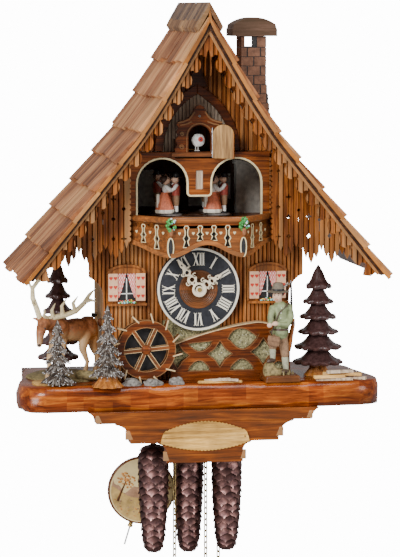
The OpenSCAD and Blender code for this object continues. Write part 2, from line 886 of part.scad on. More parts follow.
module dancers() {
    terrace() couple_places() translate([0, 0, 209]) {
        color([0.80, 0.35, 0.22]) translate([0, -5, 0]) rotate_extrude() polygon([[0, 0], [6.5, 0],
            [7.5, 3], [5, 24], [3, 28], [4.5, 36], [3, 41], [4.6, 46], [3, 53], [0, 54]]);
        color([0.16, 0.13, 0.13]) translate([0, 5.5, 0]) rotate_extrude() polygon([[0, 0], [5.5, 0],
            [3.5, 3], [4.5, 22], [5.5, 30], [3, 39], [4.2, 44], [6, 48], [3.6, 49], [3, 55], [0, 55]]);
    }
}

module water_wheel() {
    paddles = 12;
    color(brown) terrace() translate([wheel_pos[0], 0, wheel_pos[1]]) {
        board_xz(-174, -160) for (i = [0:paddles - 1]) rotate(30 * i + 15)
            translate([-1, 37.5]) square([2, 8.5]);
        for (y = [-174, -162]) board_xz(y, y + 2.4) {
            difference() {
                circle(r = 38.5);
                circle(r = 27);
            }
            for (i = [0:2]) rotate(60 * i + 30) square([3.6, 56], center = true);
            circle(r = 6);
        }
        bar_y([0, 0], 5, -176, -158);
        bar_y([0, 0], 2.5, -158, inner_y + 3);
    }
}

module shutoff_lever() {
    color([0.08, 0.08, 0.08]) terrace() translate([-case_x - 7, -26, 71]) rotate([0, 90, 0]) {
        cylinder(r = 3.2, h = 5);
        cylinder(r = 1.4, h = 24);
    }
}

module back_door() {
    hinge_x = case_x - 12.3;
    color(brown) terrace() translate([hinge_x, -wall_t / 2, 0]) difference() {
        union() {
            translate([-2 * hinge_x - 1, -1.8, 3]) cube([2 * hinge_x, 3.6, 182]);
            translate([0, 0, 12]) cylinder(r = 1.8, h = 164);
        }
        for (k = [-2:2]) translate([-hinge_x + 16 * k, -3, 118]) rotate([-90, 0, 0]) cylinder(r = 4, h = 6);
    }
}

base_board();
base_apron();
plaque();
side_walls();
front_wall();
back_board();
gable_panel();
gable_beams();
roof_panel_left();
roof_panel_right();
shingles_left();
shingles_right();
ridge_cap();
bargeboards();
icicle_panels();
chimney();
stage_front();
stage_floor();
balcony();
cuckoo_house();
dial_plate();
dial_numerals();
window_frames();
window_shutters();
mill_wall();
flowers();
deer();
hunter();
pine_trees();
snowy_trees();
stones();
firewood();
movement_plates();
hanger_plate();
bellows();
music_box();
centre_arbor();
minute_hand();
hour_hand();
minute_wheel();
escape_wheel();
anchor();
pendulum_rod();
pendulum_bob();
weight_left();
weight_middle();
weight_right();
chain_left();
chain_middle();
chain_right();
sprocket_left();
sprocket_middle();
sprocket_right();
cuckoo_bird();
cuckoo_door();
carousel();
dancers();
water_wheel();
shutoff_lever();
back_door();
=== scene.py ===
"""Looks of a carved chalet cuckoo clock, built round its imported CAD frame.

Lengths are in millimetres with X to the right, Y into the wall and H up from the terrace top,
until to_frame() turns them into metres in the frame.
"""
import math
import random

import bpy
import bmesh
from mathutils import Matrix, Vector, noise
from mathutils.geometry import tessellate_polygon


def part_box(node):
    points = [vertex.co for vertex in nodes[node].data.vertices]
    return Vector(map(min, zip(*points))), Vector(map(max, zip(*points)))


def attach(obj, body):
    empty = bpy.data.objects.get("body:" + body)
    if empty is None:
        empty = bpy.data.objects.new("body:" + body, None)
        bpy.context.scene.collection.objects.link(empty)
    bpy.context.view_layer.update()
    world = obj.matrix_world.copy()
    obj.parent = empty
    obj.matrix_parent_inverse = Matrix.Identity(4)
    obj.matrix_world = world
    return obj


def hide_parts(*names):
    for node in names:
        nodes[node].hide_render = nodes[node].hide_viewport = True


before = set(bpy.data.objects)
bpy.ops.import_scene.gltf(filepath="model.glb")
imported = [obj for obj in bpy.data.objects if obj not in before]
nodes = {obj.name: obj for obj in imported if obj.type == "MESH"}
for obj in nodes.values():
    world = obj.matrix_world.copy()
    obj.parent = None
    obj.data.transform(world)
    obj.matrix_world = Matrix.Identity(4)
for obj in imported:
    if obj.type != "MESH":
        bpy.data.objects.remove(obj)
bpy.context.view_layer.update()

MM = 0.001
TERRACE_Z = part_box("base_board")[1][2]
rng = random.Random(7)


def node_box(name):
    """Lowest and highest corner of a CAD node in millimetres, heights from the terrace top."""
    low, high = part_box(name)
    return ([low[0] / MM, low[1] / MM, (low[2] - TERRACE_Z) / MM],
            [high[0] / MM, high[1] / MM, (high[2] - TERRACE_Z) / MM])


def to_frame(v):
    return (v[0] * MM, v[1] * MM, v[2] * MM + TERRACE_Z)


# ---------------------------------------------------------------- camera and light

DIAL_LOW, DIAL_HIGH = node_box("dial_plate")
DIAL_H = (DIAL_LOW[2] + DIAL_HIGH[2]) / 2
DIAL_Y = DIAL_LOW[1]


def make_camera():
    azimuth, elevation = math.radians(9.9), math.radians(6.1)
    distance = 3321
    target = Vector((0, DIAL_Y, DIAL_H))
    forward = Vector((math.sin(azimuth) * math.cos(elevation),
                      math.cos(azimuth) * math.cos(elevation), -math.sin(elevation)))
    data = bpy.data.cameras.new("camera")
    data.lens = 169.0
    data.sensor_width = 36.0
    data.shift_x = 0.0027
    data.shift_y = 0.0192
    data.clip_start = 0.1
    data.clip_end = 60
    camera = bpy.data.objects.new("camera", data)
    bpy.context.scene.collection.objects.link(camera)
    camera.location = to_frame(target - forward * distance)
    camera.rotation_euler = forward.to_track_quat("-Z", "Y").to_euler()
    bpy.context.scene.camera = camera


def area_light(name, place, aim, size, power, colour=(1, 1, 1)):
    data = bpy.data.lights.new(name, "AREA")
    data.shape = "RECTANGLE"
    data.size, data.size_y = size
    data.energy = power
    data.color = colour
    light = bpy.data.objects.new(name, data)
    bpy.context.scene.collection.objects.link(light)
    light.location = place
    light.rotation_euler = (Vector(aim) - Vector(place)).to_track_quat("-Z", "Y").to_euler()


def make_studio():
    world = bpy.data.worlds.new("studio")
    bpy.context.scene.world = world
    world.use_nodes = True
    tree = world.node_tree
    light = tree.nodes["Background"]
    light.inputs["Color"].default_value = (1.0, 1.0, 1.0, 1)
    light.inputs["Strength"].default_value = 0.42
    seen = new_node(tree, "ShaderNodeBackground", Color=(1.0, 1.0, 1.0, 1), Strength=14.0)
    choose = tree.nodes.new("ShaderNodeMixShader")
    tree.links.new(tree.nodes.new("ShaderNodeLightPath").outputs["Is Camera Ray"],
                   choose.inputs["Fac"])
    tree.links.new(light.outputs[0], choose.inputs[1])
    tree.links.new(seen.outputs[0], choose.inputs[2])
    tree.links.new(choose.outputs[0], tree.nodes["World Output"].inputs["Surface"])
    area_light("key_light", (-1.7, -2.6, 1.15), (0, -0.1, -0.1), (1.0, 1.0), 104)
    area_light("fill_light", (2.2, -2.1, 0.35), (0, -0.1, -0.1), (1.3, 1.3), 42)
    area_light("low_light", (-2.3, -2.2, -0.9), (0, -0.1, 0.05), (0.9, 0.9), 46)
    area_light("top_light", (0.2, -0.9, 1.9), (0, -0.1, 0), (1.2, 0.8), 22)


# ---------------------------------------------------------------- materials

def node_tree(name):
    material = bpy.data.materials.new(name)
    material.use_nodes = True
    tree = material.node_tree
    shader = tree.nodes["Principled BSDF"]
    return material, tree, shader


def new_node(tree, kind, **values):
    made = tree.nodes.new(kind)
    for key, value in values.items():
        if key in made.inputs:
            made.inputs[key].default_value = value
        else:
            setattr(made, key, value)
    return made


def placed_noise(tree, stretch, scale, detail=5.0, rough=0.55, distortion=0.0):
    """Noise over the object's own coordinates, stretched along an axis by a small factor."""
    where = tree.nodes.new("ShaderNodeTexCoord")
    mapping = new_node(tree, "ShaderNodeMapping", Scale=stretch)
    tree.links.new(where.outputs["Object"], mapping.inputs["Vector"])
    made = new_node(tree, "ShaderNodeTexNoise", Scale=scale, Detail=detail, Roughness=rough,
                    Distortion=distortion)
    tree.links.new(mapping.outputs["Vector"], made.inputs["Vector"])
    return made


def ramp(tree, source, stops):
    made = tree.nodes.new("ShaderNodeValToRGB")
    elements = made.color_ramp.elements
    while len(elements) < len(stops):
        elements.new(0.5)
    for element, (at, colour) in zip(elements, stops):
        element.position = at
        element.color = (*colour, 1)
    tree.links.new(source, made.inputs["Fac"])
    return made


def mix(tree, kind, factor, first, second):
    made = tree.nodes.new("ShaderNodeMix")
    made.data_type = "RGBA"
    made.blend_type = kind
    for value, socket in ((factor, made.inputs["Factor"]), (first, made.inputs["A"]),
                          (second, made.inputs["B"])):
        if hasattr(value, "links"):
            tree.links.new(value, socket)
        else:
            socket.default_value = value if isinstance(value, float) else (*value, 1)
    return made.outputs["Result"]


def math_node(tree, kind, first, second=0.0):
    made = new_node(tree, "ShaderNodeMath", operation=kind)
    for value, socket in ((first, made.inputs[0]), (second, made.inputs[1])):
        if hasattr(value, "links"):
            tree.links.new(value, socket)
        else:
            socket.default_value = value
    return made.outputs[0]


def tinted(tree, colour, strength=0.5, pale=(0.85, 0.50, 0.22)):
    """Lightens or darkens by the mesh's own tint attribute, which is 0 where there is none."""
    tint = new_node(tree, "ShaderNodeAttribute", attribute_name="tint")
    light = math_node(tree, "MAXIMUM", tint.outputs["Fac"], 0.0)
    shade = math_node(tree, "MAXIMUM", math_node(tree, "MULTIPLY", tint.outputs["Fac"], -1.0), 0.0)
    lighter = mix(tree, "MIX", math_node(tree, "MULTIPLY", light, strength), colour, pale)
    return mix(tree, "MIX", math_node(tree, "MULTIPLY", shade, strength * 1.5), lighter,
               (0.02, 0.008, 0.005))


def add_bump(tree, shader, height, strength, distance):
    bump = new_node(tree, "ShaderNodeBump", Strength=strength, Distance=distance)
    tree.links.new(height, bump.inputs["Height"])
    tree.links.new(bump.outputs["Normal"], shader.inputs["Normal"])
    return bump


# Each stain colour is scaled for depth; green and blue are cut to give the amber of old varnish
STAIN_DEPTHS = (0.5, 0.86, 1.12)
STAIN_GREEN, STAIN_BLUE = 0.76, 0.42
COAT_SHARE = 0.7


def wood(name, dark, mid, light, grain="z", rough=0.4, coat=0.0, fine=1.0, streak=1.0, bump=0.35):
    """Stained wood: long streaks, fine pores and broad patches of lighter and darker stain."""
    material, tree, shader = node_tree(name)
    dark, mid, light = [(r * k, g * k * STAIN_GREEN, b * k * STAIN_BLUE)
                        for k, (r, g, b) in zip(STAIN_DEPTHS, (dark, mid, light))]
    shader.inputs["Specular IOR Level"].default_value = 0.22
    along = {"x": (0.06, 1, 1), "y": (1, 0.06, 1), "z": (1, 1, 0.06),
             "slope": (0.06, 1, 0.06)}[grain]
    streaks = placed_noise(tree, along, 240 * fine, 6, 0.6, 0.6)
    pores = placed_noise(tree, along, 900 * fine, 3, 0.7)
    patches = placed_noise(tree, (1, 1, 1), 22, 3, 0.5)
    base = ramp(tree, streaks.outputs["Fac"],
                [(0.28, dark), (0.5, mid), (0.74, light)]).outputs["Color"]
    patchy = ramp(tree, patches.outputs["Fac"],
                  [(0.35, (0.55, 0.50, 0.48)), (0.65, (1.15, 1.1, 1.05))])
    toned = mix(tree, "MULTIPLY", 0.75 * streak, base, patchy.outputs["Color"])
    pore_dark = ramp(tree, pores.outputs["Fac"], [(0.36, (0.45, 0.38, 0.34)), (0.52, (1, 1, 1))])
    coloured = mix(tree, "MULTIPLY", 0.6, toned, pore_dark.outputs["Color"])
    tree.links.new(tinted(tree, coloured), shader.inputs["Base Color"])
    sheen = ramp(tree, patches.outputs["Fac"],
                 [(0.3, (rough + 0.12,) * 3), (0.7, (rough - 0.06,) * 3)])
    tree.links.new(sheen.outputs["Color"], shader.inputs["Roughness"])
    shader.inputs["Coat Weight"].default_value = coat * COAT_SHARE
    shader.inputs["Coat Roughness"].default_value = 0.16
    height = math_node(tree, "ADD", streaks.outputs["Fac"],
                       math_node(tree, "MULTIPLY", pores.outputs["Fac"], 0.5))
    add_bump(tree, shader, height, bump, 0.0006)
    return material


def painted(name, colour, rough=0.45, mottle=0.25, scale=160.0, bump=0.2, coat=0.0, pale=None,
            strength=0.5,
            below=None):
    """Hand-laid paint, uneven in colour and thickness; below is (colour, low h, high h) for a lighter underside."""
    material, tree, shader = node_tree(name)
    uneven = placed_noise(tree, (1, 1, 1), scale, 5, 0.6)
    brushed = placed_noise(tree, (1, 1, 0.3), scale * 4, 3, 0.6)
    low = tuple(c * (1 - mottle) for c in colour)
    high = tuple(min(1, c * (1 + mottle * 0.6) + 0.01) for c in colour)
    base = ramp(tree, uneven.outputs["Fac"], [(0.35, low), (0.65, high)]).outputs["Color"]
    if below:
        where = tree.nodes.new("ShaderNodeSeparateXYZ")
        tree.links.new(tree.nodes.new("ShaderNodeTexCoord").outputs["Object"], where.inputs[0])
        height = math_node(tree, "ADD", where.outputs["Z"],
                           math_node(tree, "MULTIPLY", uneven.outputs["Fac"], 0.016))
        fade = new_node(tree, "ShaderNodeMapRange")
        fade.inputs["From Min"].default_value = below[1] * MM + TERRACE_Z + 0.008
        fade.inputs["From Max"].default_value = below[2] * MM + TERRACE_Z + 0.008
        tree.links.new(height, fade.inputs["Value"])
        base = mix(tree, "MIX", fade.outputs["Result"], below[0], base)
    tree.links.new(tinted(tree, base, strength, pale or high), shader.inputs["Base Color"])
    sheen = ramp(tree, brushed.outputs["Fac"],
                 [(0.3, (rough + 0.1,) * 3), (0.7, (rough - 0.08,) * 3)])
    tree.links.new(sheen.outputs["Color"], shader.inputs["Roughness"])
    shader.inputs["Coat Weight"].default_value = coat
    add_bump(tree, shader, uneven.outputs["Fac"], bump, 0.0006)
    return material


def metal(name, colour, rough=0.28, worn=(0.3, 0.2, 0.08), wear=0.35, scale=220.0, pale=None):
    """Metal with tarnish in patches and fine turned or drawn marks."""
    material, tree, shader = node_tree(name)
    patches = placed_noise(tree, (1, 1, 1), scale, 6, 0.65)
    marks = placed_noise(tree, (1, 1, 0.15), scale * 6, 2, 0.5)
    worn_mix = ramp(tree, patches.outputs["Fac"], [(0.40, (wear,) * 3), (0.62, (0, 0, 0))])
    toned = mix(tree, "MIX", worn_mix.outputs["Color"], colour, worn)
    tree.links.new(tinted(tree, toned, 0.6, pale or colour), shader.inputs["Base Color"])
    sheen = ramp(tree, patches.outputs["Fac"], [(0.35, (rough + 0.22,) * 3), (0.65, (rough,) * 3)])
    tree.links.new(sheen.outputs["Color"], shader.inputs["Roughness"])
    shader.inputs["Metallic"].default_value = 1.0
    add_bump(tree, shader, marks.outputs["Fac"], 0.12, 0.0003)
    return material


def make_materials():
    return {
        "apron_wood": wood("apron_wood", (0.06, 0.012, 0.001), (0.21, 0.056, 0.005),
                           (0.42, 0.15, 0.014), "x", 0.36, 0.2, 0.8),
        "varnished": wood("varnished", (0.08, 0.014, 0.003), (0.28, 0.064, 0.010),
                          (0.52, 0.17, 0.028), "x", 0.24, 0.35, 0.8),
        "case": wood("case", (0.045, 0.014, 0.006), (0.17, 0.055, 0.018), (0.36, 0.14, 0.045), "z",
                     0.4, 0.15),
        "case_x": wood("case_x", (0.05, 0.015, 0.006), (0.18, 0.06, 0.018), (0.36, 0.15, 0.05), "x",
                       0.4, 0.15),
        "carved": wood("carved", (0.09, 0.028, 0.008), (0.30, 0.11, 0.028), (0.52, 0.23, 0.07), "z",
                       0.34, 0.25),
        "carved_x": wood("carved_x", (0.09, 0.028, 0.008), (0.30, 0.11, 0.028), (0.50, 0.22, 0.06),
                         "x", 0.34, 0.25),
        "dark": wood("dark", (0.03, 0.014, 0.011), (0.09, 0.046, 0.036), (0.20, 0.12, 0.10), "x",
                     0.38, 0.2),
        "pale": wood("pale", (0.55, 0.55, 0.62), (0.72, 0.78, 1.05), (0.80, 0.88, 1.35), "z", 0.6),
        "shingle": wood("shingle", (0.16, 0.050, 0.026), (0.42, 0.20, 0.125), (0.66, 0.44, 0.36),
                        "slope", 0.55, 0.1, 0.9, 0.9, 0.6),
        "slat_end": wood("slat_end", (0.16, 0.09, 0.07), (0.28, 0.19, 0.17), (0.44, 0.34, 0.32),
                         "slope", 0.5),
        "verge": wood("verge", (0.22, 0.08, 0.015), (0.42, 0.18, 0.04), (0.60, 0.30, 0.10), "slope",
                      0.3, 0.3),
        "cap_wood": wood("cap_wood", (0.03, 0.018, 0.024), (0.065, 0.045, 0.06), (0.12, 0.09, 0.13),
                         "x", 0.45),
        "birch": wood("birch", (0.62, 0.40, 0.15), (0.82, 0.62, 0.28), (0.92, 0.78, 0.46), "x",
                      0.5),
        "brass": metal("brass", (0.62, 0.42, 0.15), 0.3),
        "chain_brass": metal("chain_brass", (0.34, 0.25, 0.11), 0.34),
        "steel": metal("steel", (0.55, 0.55, 0.56), 0.32, (0.2, 0.18, 0.16)),
        "stone": painted("stone", (0.20, 0.18, 0.16), 0.85, 0.6, 300, 1.0, pale=(0.50, 0.47, 0.43)),
        "cream": painted("cream", (0.86, 0.80, 0.66), 0.45, 0.06),
        "bone": painted("bone", (0.84, 0.72, 0.52), 0.4, 0.10),
        "dial_black": painted("dial_black", (0.007, 0.008, 0.014), 0.5, 0.3),
        "black": painted("black", (0.012, 0.011, 0.012), 0.4, 0.3),
        "brick": painted("brick", (0.20, 0.085, 0.042), 0.7, 0.45, 130, 0.8),
        "green": painted("green", (0.03, 0.36, 0.06), 0.4, 0.4, 500),
        "white": painted("white", (0.88, 0.86, 0.80), 0.6, 0.06, 400),
        "red": painted("red", (0.62, 0.04, 0.02), 0.4, 0.25, 400),
        "figure_green": painted("figure_green", (0.24, 0.28, 0.13), 0.55, 0.35),
        "fir": painted("fir", (0.060, 0.024, 0.022), 0.35, 0.4, 300, 0.4, 0.3,
                       pale=(0.30, 0.13, 0.10)),
        "snow_fir": painted("snow_fir", (0.10, 0.072, 0.050), 0.7, 0.5, 500, 0.8,
                            pale=(0.66, 0.62, 0.58), strength=0.8),
        "deer": painted("deer", (0.30, 0.10, 0.032), 0.5, 0.45, 240, 0.8,
                        below=((0.58, 0.36, 0.17), 44, 62)),
        "paper": painted("paper", (0.40, 0.39, 0.35), 0.8, 0.2),
        "shutter": painted("shutter", (0.80, 0.46, 0.27), 0.5, 0.12),
        "cone": metal("cone", (0.27, 0.135, 0.12), 0.34, (0.07, 0.04, 0.045), 0.8, 150,
                      (0.95, 0.58, 0.50)),
        # Lighter and darker copies of the varnish, used as painted highlight and shade on the base's facets.
        "varnish_highlight": wood("varnish_highlight", (0.13, 0.026, 0.005), (0.38, 0.105, 0.016),
                              (0.64, 0.26, 0.05), "x", 0.2, 0.4, 0.8),
        "varnish_shade": wood("varnish_shade", (0.065, 0.011, 0.002), (0.23, 0.050, 0.008),
                             (0.45, 0.14, 0.024), "x", 0.2, 0.4, 0.8),
        "laths": wood("laths", (0.12, 0.038, 0.014), (0.38, 0.15, 0.050), (0.66, 0.34, 0.14), "z",
                      0.36, 0.2, 1.4),
        # A much lighter copy of the case wood for the side boards: painted light on their brightly lit faces.
        "side_wood_lit": wood("side_wood_lit", (0.42, 0.25, 0.11), (0.62, 0.42, 0.22), (0.74, 0.56, 0.34),
                          "z", 0.5),
        "arch_wood": wood("arch_wood", (0.05, 0.012, 0.004), (0.15, 0.045, 0.012),
                          (0.30, 0.10, 0.03), "x", 0.34, 0.3),
        "stage_wood": wood("stage_wood", (0.09, 0.025, 0.008), (0.24, 0.08, 0.02),
                           (0.42, 0.16, 0.045), "x", 0.36, 0.25),
        "balcony_wood": wood("balcony_wood", (0.08, 0.024, 0.008), (0.20, 0.070, 0.022),
                             (0.36, 0.15, 0.05), "x", 0.32, 0.3),
        "rail_wood": wood("rail_wood", (0.10, 0.026, 0.008), (0.26, 0.085, 0.022),
                          (0.44, 0.18, 0.05), "x", 0.3, 0.4),
        "dial_wood": wood("dial_wood", (0.04, 0.012, 0.005), (0.11, 0.036, 0.014),
                          (0.20, 0.075, 0.028), "x", 0.36, 0.2),
        "mill_wood": wood("mill_wood", (0.055, 0.014, 0.004), (0.17, 0.050, 0.012),
                          (0.32, 0.11, 0.03), "x", 0.3, 0.35),
        "block_wood": wood("block_wood", (0.07, 0.025, 0.010), (0.17, 0.07, 0.028),
                           (0.28, 0.13, 0.05), "x", 0.4, 0.2),
        "stock_wood": wood("stock_wood", (0.22, 0.07, 0.015), (0.48, 0.18, 0.04),
                           (0.66, 0.30, 0.08), "z", 0.3, 0.4),
        "stump": wood("stump", (0.30, 0.10, 0.02), (0.52, 0.22, 0.05), (0.70, 0.38, 0.12), "z", 0.4,
                      0.2),
        "trunk": wood("trunk", (0.05, 0.02, 0.01), (0.12, 0.05, 0.02), (0.22, 0.10, 0.04), "z",
                      0.5),
        "door_wood": wood("door_wood", (0.24, 0.15, 0.08), (0.46, 0.33, 0.19), (0.66, 0.52, 0.34),
                          "z", 0.45, 0.1),
        "dark_room": wood("dark_room", (0.02, 0.010, 0.006), (0.05, 0.022, 0.012),
                          (0.09, 0.04, 0.02), "z", 0.6),
        "cream_trim": painted("cream_trim", (0.78, 0.64, 0.36), 0.45, 0.12),
        # Pale strips for the lit edges of the mill top, the spokes and the paddles: painted highlight.
        "edge_highlight": painted("edge_highlight", (0.66, 0.46, 0.24), 0.5, 0.25),
        "leaf_green": painted("leaf_green", (0.03, 0.30, 0.04), 0.4, 0.5, 500,
                              pale=(0.10, 0.62, 0.12)),
        "cyan": painted("cyan", (0.30, 0.72, 0.82), 0.4, 0.2, 500),
        "yellow": painted("yellow", (0.85, 0.60, 0.05), 0.4, 0.2, 500),
        "pot": painted("pot", (0.30, 0.11, 0.04), 0.5, 0.3, 400),
        "curtain": painted("curtain", (0.78, 0.13, 0.10), 0.8, 0.15, 700),
        "curtain_white": painted("curtain_white", (0.88, 0.62, 0.55), 0.8, 0.05, 700),
        "gravel": painted("gravel", (0.30, 0.27, 0.13), 0.9, 0.75, 520, 1.0,
                          pale=(0.80, 0.76, 0.55), strength=0.9),
        "frost": painted("frost", (0.80, 0.82, 0.84), 0.7, 0.1, 700),
        "antler": painted("antler", (0.80, 0.66, 0.38), 0.4, 0.25, 300, 0.5),
        "moss": painted("moss", (0.24, 0.18, 0.07), 0.8, 0.6, 260, 1.0, pale=(0.50, 0.42, 0.20)),
        "boot": painted("boot", (0.07, 0.035, 0.02), 0.4, 0.3, 300),
        "sock": painted("sock", (0.40, 0.40, 0.27), 0.8, 0.3, 700, 0.6),
        "trouser": painted("trouser", (0.30, 0.17, 0.09), 0.7, 0.3, 500),
        "skin": painted("skin", (0.78, 0.50, 0.35), 0.5, 0.08, 300),
        "skin_red": painted("skin_red", (0.55, 0.14, 0.09), 0.5, 0.1, 300),
        "hat": painted("hat", (0.16, 0.13, 0.09), 0.7, 0.3, 500),
        "bag": painted("bag", (0.20, 0.10, 0.045), 0.5, 0.35, 300),
        "skirt": painted("skirt", (0.78, 0.20, 0.09), 0.55, 0.25, 400),
        "vest": painted("vest", (0.34, 0.05, 0.03), 0.6, 0.3, 400),
        "hair": painted("hair", (0.06, 0.03, 0.02), 0.5, 0.3, 700),
        "foot_grey": painted("foot_grey", (0.13, 0.11, 0.10), 0.6, 0.3, 300),
        "bob_rim": wood("bob_rim", (0.05, 0.016, 0.005), (0.15, 0.05, 0.014), (0.30, 0.11, 0.03),
                        "x", 0.26, 0.5),
        "bob_sky": painted("bob_sky", (0.80, 0.62, 0.30), 0.35, 0.16, 40, 0.1, 0.4),
        "bob_hill": painted("bob_hill", (0.40, 0.22, 0.12), 0.4, 0.35, 90, 0.2, 0.4),
        "bob_field": painted("bob_field", (0.50, 0.32, 0.10), 0.4, 0.4, 80, 0.2, 0.4),
        "leaf_orange": painted("leaf_orange", (0.58, 0.22, 0.04), 0.45, 0.4, 300, 0.2, 0.3,
                               pale=(0.80, 0.45, 0.12)),
    }


NODE_FINISH = {
    "base_board": "varnished", "base_apron": "varnished", "plaque": "birch", "side_walls": "case",
    "front_wall": "case", "back_board": "case", "gable_panel": "pale", "gable_beams": "dark",
    "roof_panel_left": "case", "roof_panel_right": "case", "shingles_left": "shingle",
    "shingles_right": "shingle", "ridge_cap": "dark", "bargeboards": "carved",
    "icicle_panels": "carved", "chimney": "brick", "stage_front": "carved_x",
    "stage_floor": "case_x",
    "balcony": "carved_x", "cuckoo_house": "case_x", "dial_plate": "dial_black",
    "dial_numerals": "cream", "window_frames": "carved", "window_shutters": "shutter",
    "mill_wall": "carved_x", "flowers": "green", "deer": "deer", "hunter": "figure_green",
    "pine_trees": "fir", "snowy_trees": "snow_fir", "stones": "stone", "firewood": "birch",
    "movement_plates": "brass", "hanger_plate": "steel", "bellows": "paper", "music_box": "brass",
    "centre_arbor": "brass", "minute_hand": "bone", "hour_hand": "bone", "minute_wheel": "brass",
    "escape_wheel": "brass", "anchor": "steel", "pendulum_rod": "steel", "pendulum_bob": "bob_rim",
    "weight_left": "cone", "weight_middle": "cone", "weight_right": "cone", "chain_left": "brass",
    "chain_middle": "brass", "chain_right": "brass", "sprocket_left": "brass",
    "sprocket_middle": "brass", "sprocket_right": "brass", "cuckoo_bird": "white",
    "cuckoo_door": "pale", "carousel": "dark", "dancers": "red", "water_wheel": "carved",
    "shutoff_lever": "black", "back_door": "case",
}


def dress_frame():
    for name, finish in NODE_FINISH.items():
        target = nodes[name]
        target.data.materials.clear()
        target.data.materials.append(materials[finish])


# ---------------------------------------------------------------- shapes

class Piece:
    """Gathers closed shapes in millimetres and makes one mesh object of them."""

    def __init__(self, name, *finishes):
        self.name, self.finishes = name, finishes
        self.verts, self.faces, self.tints, self.slots = [], [], [], []
        self.place = Matrix()

    def add(self, verts, faces, tint=0.0, finish=0):
        first = len(self.verts)
        self.verts += [self.place @ Vector(v) for v in verts]
        self.faces += [[first + i for i in face] for face in faces]
        self.tints += [tint(v) if callable(tint) else tint for v in verts]
        self.slots += [finish] * len(faces)

    def hexa(self, corners, tint=0.0, finish=0):
        """Eight corners: a ring of four below, then the same four above."""
        self.add(corners, [(3, 2, 1, 0), (4, 5, 6, 7), (0, 1, 5, 4), (1, 2, 6, 5), (2, 3, 7, 6),
                           (3, 0, 4, 7)], tint, finish)

    def box(self, low, high, tint=0.0, finish=0):
        (a, b, c), (d, e, f) = low, high
        self.hexa([(a, b, c), (d, b, c), (d, e, c), (a, e, c),
                   (a, b, f), (d, b, f), (d, e, f), (a, e, f)], tint, finish)

    def board(self, loops, y_front, y_back, tint=0.0, finish=0, grooves=(), groove=(0.7, 1.3)):
        """A standing board: the first front view outline less the others, with upright grooves."""
        triangles = tessellate_polygon([[Vector((x, h, 0)) for x, h in loop] for loop in loops])
        points = [p for loop in loops for p in loop]
        bm = bmesh.new()
        front = [bm.verts.new((x, y_front, h)) for x, h in points]
        back = [bm.verts.new((x, y_back, h)) for x, h in points]
        for a, b, c in triangles:
            bm.faces.new((front[a], front[b], front[c]))
            bm.faces.new((back[c], back[b], back[a]))
        first = 0
        for loop in loops:
            for i in range(len(loop)):
                a, b = first + i, first + (i + 1) % len(loop)
                bm.faces.new((front[a], front[b], back[b], back[a]))
            first += len(loop)
        half, deep = groove
        for x in grooves:
            for shift in (-half, 0, half):
                bmesh.ops.bisect_plane(bm, geom=bm.verts[:] + bm.edges[:] + bm.faces[:],
                                       plane_co=(x + shift, 0, 0), plane_no=(1, 0, 0))
        cut = sorted(grooves)
        for v in bm.verts:
            if cut and abs(v.co.y - y_front) < 1e-3 and min(abs(v.co.x - x) for x in cut) < 1e-3:
                v.co.y += deep
        bmesh.ops.recalc_face_normals(bm, faces=bm.faces)
        bm.verts.index_update()

        # Groove bottoms, the vertices pushed inside the board's thickness, are darkened as painted shade in the
        # grooves.
        def shade(v):
            if y_front + 0.05 < v[1] < y_back - 0.05:
                return -0.9
            return tint(v) if callable(tint) else tint
        self.add([tuple(v.co) for v in bm.verts], [[v.index for v in f.verts] for f in bm.faces],
                 shade, finish)
        bm.free()

    def plan(self, loops, h_low, h_high, tint=0.0, finish=0):
        """A lying board: the first plan outline less the others."""
        keep = self.place
        self.place = keep @ Matrix(((1, 0, 0, 0), (0, 0, 1, 0), (0, 1, 0, 0), (0, 0, 0, 1)))
        self.board(loops, h_low, h_high, tint, finish)
        self.place = keep

    def rings(self, rings, tint=0.0, finish=0, closed=False):
        """Joins rings of points with the same count into a skin; the end rings are filled."""
        n = len(rings[0])
        faces = []
        spans = len(rings) if closed else len(rings) - 1
        for r in range(spans):
            a, b = r * n, (r + 1) % len(rings) * n
            faces += [(a + i, a + (i + 1) % n, b + (i + 1) % n, b + i) for i in range(n)]
        if not closed:
            faces += [tuple(range(n))[::-1], tuple(range((len(rings) - 1) * n, len(rings) * n))]
        self.add([p for ring in rings for p in ring], faces, tint, finish)

    def lathe(self, at, axis, profile, steps=32, tint=0.0, finish=0, lobes=0, swell=0.0,
              closed=False):
        """Turns (radius, distance) pairs about an axis through at, wavy round it if lobes is set."""
        side = {"x": (Vector((0, 1, 0)), Vector((0, 0, 1)), Vector((1, 0, 0))),
                "y": (Vector((0, 0, 1)), Vector((1, 0, 0)), Vector((0, 1, 0))),
                "z": (Vector((1, 0, 0)), Vector((0, 1, 0)), Vector((0, 0, 1)))}[axis]
        rings = []
        for radius, along in profile:
            ring = []
            for i in range(steps):
                a = math.tau * i / steps
                r = max(radius, 0.01) * (1 + swell * math.cos(lobes * a))
                ring.append(Vector(at) + side[0] * r * math.cos(a) + side[1] * r * math.sin(a)
                            + side[2] * along)
            rings.append(ring)
        self.rings(rings, tint, finish, closed)

    def tube(self, path, radius, sides=8, tint=0.0, finish=0, closed=False):
        """A round bar along a path; radius is a number or one for each point."""
        path = [Vector(p) for p in path]
        count = len(path)
        radii = radius if isinstance(radius, (list, tuple)) else [radius] * count
        rings, up = [], None
        for i, p in enumerate(path):
            if closed:
                ahead = (path[(i + 1) % count] - path[i - 1]).normalized()
            else:
                ahead = (path[min(i + 1, count - 1)] - path[max(i - 1, 0)]).normalized()
            if up is None:
                up = ahead.orthogonal().normalized()
            up = (up - ahead * up.dot(ahead)).normalized()
            across = ahead.cross(up)
            rings.append([p + up * radii[i] * math.cos(math.tau * k / sides)
                          + across * radii[i] * math.sin(math.tau * k / sides) for k in range(sides)])
        self.rings(rings, tint, finish, closed)

